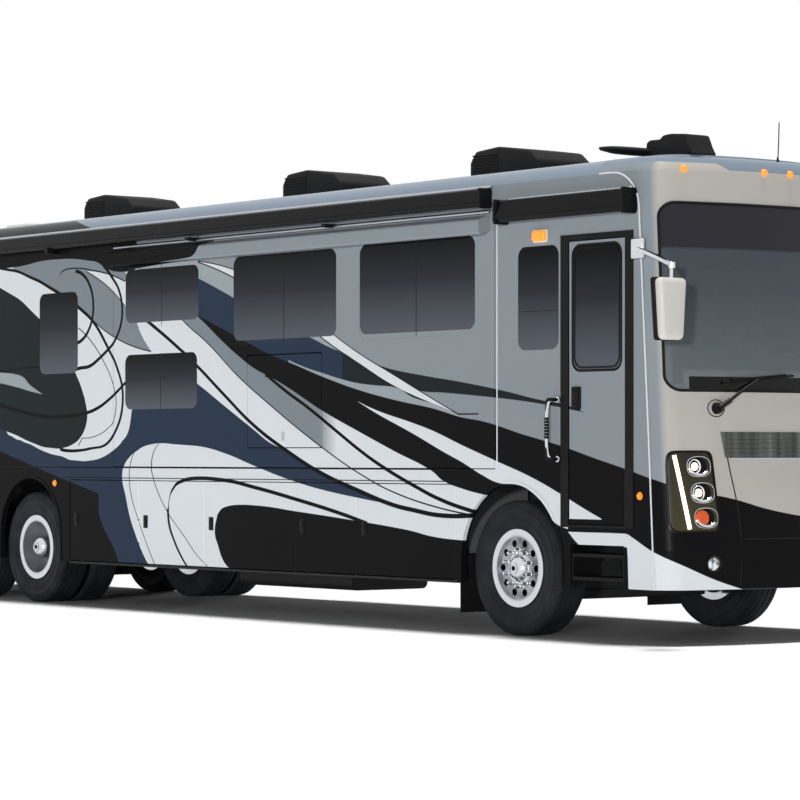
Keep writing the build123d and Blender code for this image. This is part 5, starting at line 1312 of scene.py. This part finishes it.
# %% Brow and side marker lamps
brow = bmesh.new()
for y, z in ((0.0, 3.60), (0.27, 3.60), (-0.27, 3.60), (1.0, 3.60), (-1.0, 3.60)):
    nose_disc(brow, y, z, 0.030, 0.022, 0.002, 20)
piece("brow_lamps", brow, "coach", amber_bright)
for side in (-1, 1):
    marks = bmesh.new()
    for x, z in ((-2.341, 1.166), (6.017, 1.127)):
        dome = [(0.0, 0.030), (0.006, 0.029), (0.013, 0.020), (0.016, 0.0)]
        out = side * (half_width + 0.002)
        turned(marks, [(side * a, r) for a, r in dome], (x, out, z), steps=24)
    piece(f"side_markers_{'left' if side > 0 else 'right'}", marks, "coach", amber_bright)
porch = bmesh.new()
slab(porch, (4.80, 4.95), (right(0.043), right(-0.001)), (3.112, 3.192), 0.014, 3)
piece("porch_lamp", porch, "coach", amber_bright)
porch = bmesh.new()
slab(porch, (4.79, 4.96), (right(0.017), right(-0.001)), (3.10, 3.204), 0.006)
piece("porch_lamp_base", porch, "coach", pearl_plastic)

# %% [markdown]
# ### Wipers
#
# Each arm turns in a cup under the glass and holds a blade along its foot. Both are bars along
# points found on the nose, each held a little way out from the skin.

# %% Wipers
wipers, cups = bmesh.new(), bmesh.new()
for side in (-1, 1):
    boss_y = 0.80 * side
    boss = [(-0.004, 0.046), (0.018, 0.044), (0.040, 0.034), (0.044, 0.0)]
    turned(wipers, boss, on_nose(boss_y, 1.79, 0.0), (1, 0, 0.05), 28)
    # an arm that narrows towards the blade, and the blade parked along the glass
    arm = [(0.80, 1.79, 0.040), (0.70, 1.85, 0.040), (0.58, 1.93, 0.036), (0.42, 2.006, 0.024)]
    rod(wipers, [on_nose(y * side, z, out) for y, z, out in arm], 0.012)
    rod(wipers, [on_nose(y * side, z, out) for y, z, out in arm[:2]], 0.019)
    blade = [(0.74 - 0.085 * n, 1.985 + 0.0075 * n) for n in range(9)]
    rod(wipers, [on_nose(y * side, z, 0.013) for y, z in blade], 0.010)
    rod(wipers, [on_nose(y * side, z + 0.014, 0.022) for y, z in blade[1:-1]], 0.006)
    nose_ring(cups, boss_y * 1.005, 1.79, 0.072, 0.064, 0.004, 0.001, 2.0)
made = piece("wiper_arms", wipers, "coach", satin_black)
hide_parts("wipers")
piece("wiper_cups", cups, "coach", satin_black)

# %% [markdown]
# ### Trim of the nose
#
# A rubber bar hides the edge of the windshield, and the grille is a thin dark panel laid on the
# nose. A flat grid is draped over the skin point by point and then given its thickness.

# %% Windshield rubber and nose trim
def nose_frame(bm, y, z, corner, radius, proud):
    """A bar round an opening of the nose: straight sides, with corners of a given radius."""
    points = []
    corners = [(1, 1, 0), (-1, 1, 90), (-1, -1, 180), (1, -1, 270)]
    for number, (side_y, side_z, start) in enumerate(corners):
        middle = (side_y * (y - corner), (z[1] - corner) if side_z > 0 else (z[0] + corner))
        for step in range(7):
            angle = math.radians(start + 15 * step)
            spot = (middle[0] + corner * math.cos(angle), middle[1] + corner * math.sin(angle))
            points.append(spot)
        # points along the straight side, because the nose is bowed under it
        turn_y, turn_z, _ = corners[(number + 1) % 4]
        after = (turn_y * (y - corner), (z[1] - corner) if turn_z > 0 else (z[0] + corner))
        angle = math.radians(start + 90)
        goal = (after[0] + corner * math.cos(angle), after[1] + corner * math.sin(angle))
        last = points[-1]
        for step in range(1, 12):
            t = step / 12
            points.append((last[0] + (goal[0] - last[0]) * t, last[1] + (goal[1] - last[1]) * t))
    rod(bm, [on_nose(*spot, proud) for spot in points], radius, closed=True, flat=True)


rubber_ring = bmesh.new()
low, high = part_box("windshield")
nose_frame(rubber_ring, high[1] + 0.002, (low[2] - 0.002, high[2] + 0.002), 0.11, 0.011, 0.002)
piece("windshield_rubber", rubber_ring, "coach", satin_black)

# the grille: a dark panel laid on the nose, with five fine slats
panel = bmesh.new()
across, up = 32, 6
bmesh.ops.create_grid(panel, x_segments=across, y_segments=up, size=0.5)
for vert in panel.verts:
    height = 1.424 + 0.188 * (vert.co.y + 0.5)
    half = 0.742 + 0.034 * (vert.co.y + 0.5)
    vert.co = on_nose(2 * half * vert.co.x, height, 0.004)
bmesh.ops.solidify(panel, geom=panel.faces[:], thickness=0.008)
made = piece("grille_panel", panel, "coach", grille_gloss)
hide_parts("grille")

bright = bmesh.new()
rod(bright, [on_nose(y, 1.408, 0.005) for y in [n * 0.1 for n in range(-7, 8)]], 0.010)
piece("grille_bright_lip", bright, "coach", brushed)
creases = bmesh.new()
rod(creases, [on_nose(y, 0.80, -0.002) for y in [n * 0.12 for n in range(-5, 6)]], 0.006)
for side in (-1, 1):
    edge = [(0.722, 1.425), (0.70, 1.30), (0.675, 1.20)]
    edge += [(0.64, 1.0), (0.625, 0.70), (0.62, 0.45)]
    rod(creases, [on_nose(side * y, z, -0.002) for y, z in edge], 0.006)
piece("nose_creases", creases, "coach", satin_black)
slats = bmesh.new()
for n in range(5):
    z = 1.448 + 0.034 * n
    rod(slats, [on_nose(y, z, 0.012) for y in [m * 0.1225 for m in range(-6, 7)]], 0.0045)
piece("grille_slats", slats, "coach", grille_gloss)
print("nose ready")

# %% [markdown]
# ## Roof equipment
#
# The three air conditioners have a high louvred back and a shroud that slopes down to the
# front, so that the wind of travel closes the shroud instead of lifting it. The shroud is one
# profile, extruded across and bevelled. A folded satellite dish lies behind its motor housing.

# %% Air conditioners
unit_spots = [-2.92, 0.51, 3.25]
roof_top = 3.75
unit_l, unit_w, unit_h = 0.92, 0.60, 0.30


def extruded(bm, outline, y0, y1, round_edge=0.02, segments=3):
    """An outline of (x, z) points at Y = y0, extruded to Y = y1, with its edges rounded."""
    verts = [bm.verts.new((x, y0, z)) for x, z in outline]
    face = bm.faces.new(verts)
    grown = bmesh.ops.extrude_face_region(bm, geom=[face])["geom"]
    moved = [part for part in grown if isinstance(part, bmesh.types.BMVert)]
    bmesh.ops.translate(bm, vec=(0, y1 - y0, 0), verts=moved)
    edges = list({edge for vert in verts + moved for edge in vert.link_edges})
    bmesh.ops.bevel(
        bm, geom=edges, offset=round_edge, segments=segments, profile=0.5,
        affect="EDGES", material=-1,
    )


shrouds, louvres = bmesh.new(), bmesh.new()
for x in unit_spots:
    back = x - unit_l / 2
    outline = [
        (back, roof_top + 0.012), (back, roof_top + 0.62 * unit_h),
        (back + 0.08 * unit_l, roof_top + 0.93 * unit_h), (back + 0.4 * unit_l, roof_top + unit_h),
        (back + 0.86 * unit_l, roof_top + 0.80 * unit_h),
        (back + unit_l - 0.012, roof_top + 0.50 * unit_h), (back + unit_l, roof_top + 0.012),
    ]
    extruded(shrouds, outline, -unit_w / 2, unit_w / 2, 0.028)
    # a skirt round the foot, and louvres over the rear third of both sides and the back
    slab(
        shrouds, (back - 0.012, back + unit_l + 0.012), (-unit_w / 2 - 0.012, unit_w / 2 + 0.012),
        (roof_top + 0.001, roof_top + 0.045), 0.012,
    )
    for n in range(7):
        z = roof_top + 0.075 + 0.026 * n
        for side in (-1, 1):
            y = side * (unit_w / 2 + 0.002)
            slab(
                louvres, (back + 0.05, back + 0.42 * unit_l), sorted(span(y, 0.006)),
                (z, z + 0.013), 0.003, 1,
            )
        if n < 5:
            across = (-unit_w / 2 + 0.04, unit_w / 2 - 0.04)
            slab(louvres, span(back, 0.006), across, (z, z + 0.013), 0.003, 1)
made = piece("air_unit_shrouds", shrouds, "coach", moulded_black)
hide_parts("air_units")
piece("air_unit_louvres", louvres, "coach", satin_black)

# %% [markdown]
# ### Dish, vents and antenna
#
# The dish is a shallow bowl, so its section is spun; the housing behind it is an extruded
# outline. The whip antenna is a thin bar on a turned foot.

# %% Satellite dish, vent and antenna
dish = bmesh.new()
profile = [
    (0.0, 0.0), (0.004, 0.20), (0.020, 0.285), (0.034, 0.30), (0.046, 0.295), (0.058, 0.22),
    (0.066, 0.0),
]
turned(dish, profile, (5.20, -0.57, roof_top + 0.05), (0.10, 0.02, 1), 64)
neck = [(5.42, -0.55, 0.06), (5.55, -0.53, 0.10), (5.62, -0.52, 0.07)]
rod(dish, [(x, y, roof_top + up) for x, y, up in neck], 0.035)
housing = [
    (5.40, 0.002), (5.41, 0.13), (5.45, 0.148), (5.56, 0.145), (5.60, 0.175), (5.68, 0.18),
    (5.86, 0.165), (5.91, 0.06), (5.95, 0.002),
]
extruded(dish, [(x, roof_top + up) for x, up in housing], -0.66, -0.40, 0.018)
piece("satellite_dish", dish, "coach", moulded_black)
vents = bmesh.new()
slab(vents, (-5.01, -4.59), (-0.21, 0.21), (roof_top + 0.001, roof_top + 0.05), 0.02)
slab(vents, (-5.03, -4.57), (-0.23, 0.23), (roof_top + 0.045, roof_top + 0.11), 0.03, 3)
for x in (-5.4, -1.1, 1.9):
    rim = [(0.0, 0.05), (0.05, 0.05), (0.06, 0.07), (0.075, 0.07), (0.085, 0.0)]
    turned(vents, rim, (x, 0.75, roof_top), (0, 0, 1), 32)
made = piece("roof_vents", vents, "coach", pearl_plastic)
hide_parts("roof_fittings")
whip = bmesh.new()
rod(whip, [(6.10, 0.10, 3.715), (6.11, 0.10, 3.85), (6.115, 0.10, 4.03)], 0.0045)
whip_foot = [(0.0, 0.022), (0.02, 0.020), (0.035, 0.010), (0.06, 0.0065)]
turned(whip, whip_foot, (6.10, 0.10, 3.70), (0, 0, 1), 20)
piece("whip_antenna", whip, "coach", satin_black)
print("roof ready")

# %% [markdown]
# ## Mirrors
#
# The head is a rounded shell with a dark rim and the glass set in its rear side. A cube with
# wide bevels gives the shell; the arm bends out of a bracket on the door pillar.

# %% Mirrors
for side_name, side in (("left", 1), ("right", -1)):
    shell, rim, glass, arm = bmesh.new(), bmesh.new(), bmesh.new(), bmesh.new()
    y = side * 1.48
    slab(shell, (6.53, 6.618), span(y, 0.140), (2.285, 2.745), 0.042, 5)
    slab(rim, (6.502, 6.552), span(y, 0.149), (2.281, 2.749), 0.022, 4)
    slab(glass, (6.4985, 6.5035), span(y, 0.124), (2.44, 2.725), 0.004, 1)
    slab(glass, (6.4985, 6.5035), span(y, 0.124), (2.31, 2.415), 0.004, 1)
    foot_y = side * (half_width + 0.001)
    slab(arm, (5.955, 6.085), sorted((foot_y, foot_y + side * 0.045)), (2.915, 3.075), 0.016, 3)
    reach = [(5.99, 1.295, 3.0), (6.28, 1.365, 2.93), (6.545, 1.435, 2.84)]
    rod(arm, [(x, side * out, z) for x, out, z in reach], 0.021)
    drop = [(6.55, 1.45, 2.85), (6.558, 1.455, 2.80), (6.56, 1.46, 2.72)]
    rod(arm, [(x, side * out, z) for x, out, z in drop], 0.013)
    turned(
        arm, [(-0.022, 0.0), (-0.022, 0.026), (0.022, 0.026), (0.022, 0.0)],
        (6.552, side * 1.447, 2.838), (0, 0, 1), 24,
    )
    # the head narrows towards its foot
    for part in (shell, rim, glass):
        for vert in part.verts:
            narrow = 1 - 0.24 * min(max((2.745 - vert.co.z) / 0.46, 0), 1) ** 1.3
            vert.co.y = y + (vert.co.y - y) * narrow
    made = piece(f"mirror_shell_{side_name}", shell, "coach", pearl_plastic)
    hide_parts("mirrors")
    piece(f"mirror_rim_{side_name}", rim, "coach", satin_black)
    piece(f"mirror_glass_{side_name}", glass, "coach", chrome)
    piece(f"mirror_arm_{side_name}", arm, "coach", chrome)
print("mirrors ready")

# %% [markdown]
# ## Side trim
#
# Small things make the size of the coach believable: drip lines, latches, the grab handle by
# the door, the rubber round the door's pane, the bars that part the windows, and the white
# bead that hides the joint between the walls and the nose.

# %% Door furniture
grab = bmesh.new()
grab_run = [
    (5.075, 0.002, 1.868), (5.05, 0.045, 1.874), (5.025, 0.07, 1.84), (5.022, 0.075, 1.64),
    (5.022, 0.07, 1.44), (5.045, 0.045, 1.40), (5.075, 0.002, 1.405),
]
rod(grab, [(x, right(out), z) for x, out, z in grab_run], 0.0135)
for x, _, z in (grab_run[0], grab_run[-1]):
    # a rosette at each end
    turned(grab, [(0.0, 0.026), (-0.008, 0.025), (-0.012, 0.014)], (x, right(0.001), z), steps=24)
piece("grab_handle", grab, "coach", chrome)
grip = bmesh.new()
for n in range(7):
    turned(
        grip, [(-0.011, 0.0150), (-0.009, 0.0185), (0.009, 0.0185), (0.011, 0.0150)],
        (5.022, right(0.0735), 1.575 + 0.024 * n), (0, 0, 1), 20,
    )
piece("grab_grip", grip, "coach", satin_black)

plate = bmesh.new()
slab(plate, (5.245, 5.345), (right(0.014), right(-0.001)), (1.785, 1.965), 0.014, 3)
slab(plate, (5.262, 5.328), (right(0.025), right(0.011)), (1.83, 1.94), 0.008, 3)
piece("door_handle", plate, "entry_door", satin_black)


def window_ring(bm, x, z, y, radius, corner=0.085):
    """A rounded bar round an opening of the right or left side."""
    points = []
    for cx, cz, start in (
        (x[1] - corner, z[1] - corner, 0), (x[0] + corner, z[1] - corner, 90),
        (x[0] + corner, z[0] + corner, 180), (x[1] - corner, z[0] + corner, 270),
    ):
        for step in range(7):
            angle = math.radians(start + 15 * step)
            points.append((cx + corner * math.cos(angle), y, cz + corner * math.sin(angle)))
    rod(bm, points, radius, closed=True, flat=True)


door_pane_x, _, door_pane_z = side_panes["entry_glass"][0]
seal = bmesh.new()
for grow, y, radius in ((0.006, right(-0.0035), 0.0105), (-0.018, right(-0.001), 0.007)):
    across = (door_pane_x[0] - grow, door_pane_x[1] + grow)
    window_ring(seal, across, (door_pane_z[0] - grow, door_pane_z[1] + grow), y, radius)
piece("door_window_seal", seal, "entry_door", satin_black)

# %% [markdown]
# ### Bars of the windows
#
# The panes are flush, and only fine bars tell which part slides. They are thin strips set just
# proud of the glass, and they ride on the room that the pane belongs to.

# %% Window bars
bars = {"coach": bmesh.new(), "slide_right": bmesh.new(), "slide_left": bmesh.new()}
rides = {
    "wall_glass": "coach", "right_slide_glass": "slide_right", "left_slide_glass": "slide_left",
}
for name, body in rides.items():
    for across, depth, up in side_panes[name]:
        side = 1 if depth[0] > 0 else -1
        out = side * (half_width - 0.0015)
        thick = sorted((out, out - side * 0.004))
        width, tall = across[1] - across[0], up[1] - up[0]
        middle = across[0] + width / 2
        head = up[1] - 0.01
        run = (across[0] + 0.01, across[1] - 0.01)
        if name == "wall_glass" and width > 0.8:
            # bedroom panes: the low one has a transom, the high one opens in its lower half
            head = up[0] + 0.55 * tall
        if width > 0.8:
            slab(bars[body], span(middle, 0.005), thick, (up[0] + 0.01, head), 0.001, 1)
        if name == "wall_glass" and up[0] < 2.0:
            slab(bars[body], run, thick, span(head, 0.003), 0.001, 1)
        elif width < 0.8 and across[0] > 4.0:
            sill = up[0] + 0.37 * tall
            slab(bars[body], run, thick, (sill, sill + 0.006), 0.001, 1)
for body, bm in bars.items():
    piece(f"window_bars_{body}", bm, body, satin_black)
print("window bars ready")

# %% [markdown]
# ### Rails, beads and belts
#
# Long thin trims break up the big flat sides: bright rails over the awnings, a white bead at the
# joint with the nose, and two fine belt lines.

# %% Awning fittings and drip rails
fittings = bmesh.new()
slab(fittings, (-2.33, -2.27), (right(0.125), right(0)), (3.375, 3.425), 0.006)
for x0, x1, z0, z1, y in (
    (-3.93, -3.90, 3.405, 3.567, 0.138), (4.244, 4.274, 3.405, 3.567, 0.138),
    (4.455, 4.482, 3.262, 3.46, 0.152), (5.958, 5.985, 3.262, 3.46, 0.152),
):
    slab(fittings, (x0, x1), (right(y), right(0.001)), (z0, z1), 0.012, 3)
piece("awning_fittings", fittings, "coach", satin_black)
rails = bmesh.new()
slab(rails, (-5.9, 4.28), (right(0.031), right(0.0005)), (3.565, 3.590), 0.008, 2)
slab(rails, (4.50, 5.94), (right(0.025), right(0.0005)), (3.455, 3.470), 0.004, 1)
piece("drip_rails", rails, "coach", brushed)
# the lower rail and its clips ride on the slide-out room, under the awning's case
rail = bmesh.new()
slab(rail, (-1.26, 4.26), (right(0.031), right(-0.0005)), (3.368, 3.390), 0.008, 2)
piece("slide_rail", rail, "slide_right", brushed)
clips = bmesh.new()
for x in (0.10, 2.17):
    slab(clips, span(x, 0.03), (right(0.125), right(-0.001)), (3.372, 3.402), 0.006)
piece("slide_rail_clips", clips, "slide_right", satin_black)

beads = bmesh.new()
for side in (-1, 1):
    y = side * (half_width + 0.001)
    top_x = 6.128 - (3.59 - 1.322) * 0.052
    low_x = 6.128 + (1.322 - 0.42) * 0.052
    arc = []
    for step in range(9):
        angle = math.radians(90 * step / 8 - 3)
        arc.append((top_x - 0.30 + 0.30 * math.cos(angle), y, 3.29 + 0.30 * math.sin(angle)))
    run = [(low_x, y, 0.42), (6.128, y, 1.322)] + arc + [(5.62, y, 3.592), (5.56, y, 3.592)]
    rod(beads, run, 0.0065, flat=True)
piece("nose_seam_bead", beads, "coach", white_trim)
belt = bmesh.new()
for side in (-1, 1):
    y = side * (half_width + 0.001)
    for z, rear_end in ((1.222, -3.5), (1.318, -1.32)):
        runs = [(-5.98, rear_end), (-2.2, 3.86)]
        if side > 0:
            runs.append((5.1, 6.1))
        for x0, x1 in runs:
            rod(belt, [(x0, y, z), (x1, y, z)], 0.004, flat=True)
piece("belt_lines", belt, "coach", satin_black)
seams = bmesh.new()
rod(seams, [(4.335, right(0.001), 1.33), (4.335, right(0.001), 3.40)], 0.006, flat=True)
piece("wall_seam_bead", seams, "coach", brushed)
print("side trim ready")

# %% [markdown]
# ### Latches
#
# Every bay door has its latch near the rear edge. The door's own box gives the place, so the
# latch follows if the doors change.

# %% Bay latches and the media door's latch
for prefix, side, count in (("bay_door_right", -1, 5), ("bay_door_left", 1, 4)):
    for number in range(1, count + 1):
        low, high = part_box(f"{prefix}_{number}")
        x = low[0] + 0.11
        latch = bmesh.new()
        y = side * half_width
        depth = sorted((y - side * 0.004, y + side * 0.006))
        slab(latch, span(x, 0.035), depth, (0.76, 0.88), 0.005, 2)
        slab(latch, span(x, 0.022), sorted((y, y + side * 0.012)), (0.80, 0.865), 0.005, 2)
        piece(f"latch_{prefix}_{number}", latch, f"{prefix}_{number}", satin_black)
latch = bmesh.new()
lock = [(0.0, 0.022), (-0.006, 0.020), (-0.010, 0.0)]
turned(latch, lock, (1.42, right(-0.0005), 1.62), steps=24)
slab(latch, (1.405, 1.435), (right(0.007), right(-0.0005)), (1.56, 1.60), 0.003)
piece("latch_media_door", latch, "media_door", brushed)
print("latches ready")

# %% [markdown]
# ### The tail and the underside
#
# The photograph doesn't show the rear. An engine door at the back has cooling louvres and a
# plate, which stays blank. Mud flaps hang behind the wheels, and a beam joins the front wheels.

# %% Rear: louvres and blank plate
low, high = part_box("engine_door")
louvres = bmesh.new()
rear_x, middle_y = low[0], (low[1] + high[1]) / 2
for row in range(9):
    z = low[2] + 0.12 + 0.045 * row
    depth = (rear_x - 0.012, rear_x + 0.006)
    slab(louvres, depth, span(middle_y, 0.62), (z, z + 0.022), 0.004, 2)
piece("engine_louvres", louvres, "engine_door", satin_black)
plate = bmesh.new()
plate_z = (high[2] - 0.24, high[2] - 0.09)
slab(plate, (rear_x - 0.010, rear_x + 0.004), span(middle_y, 0.155), plate_z, 0.006, 2)
piece("blank_plate", plate, "engine_door", white_trim)
print("engine door:", [round(v, 3) for v in (*low, *high)])

# %% Mud flaps
flaps = bmesh.new()
for side in (-1, 1):
    # a plain rubber sheet over each flap of the CAD model
    across = sorted((side * 1.245, side * 0.802))
    for middle in (3.842, -4.615):
        slab(flaps, span(middle, 0.0075), across, (0.165, 0.63), 0.003, 1)
piece("mud_flaps", flaps, "coach", rubber)

# %% Beam under the front axle
low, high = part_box("front_axle")
beam = bmesh.new()
slab(beam, (4.44, 4.56), (-0.80, 0.80), (0.275, max(0.36, low[2] + 0.01)), 0.02, 3)
piece("front_axle_beam", beam, "coach", steel)
print("front axle box:", [round(v, 3) for v in (*low, *high)])
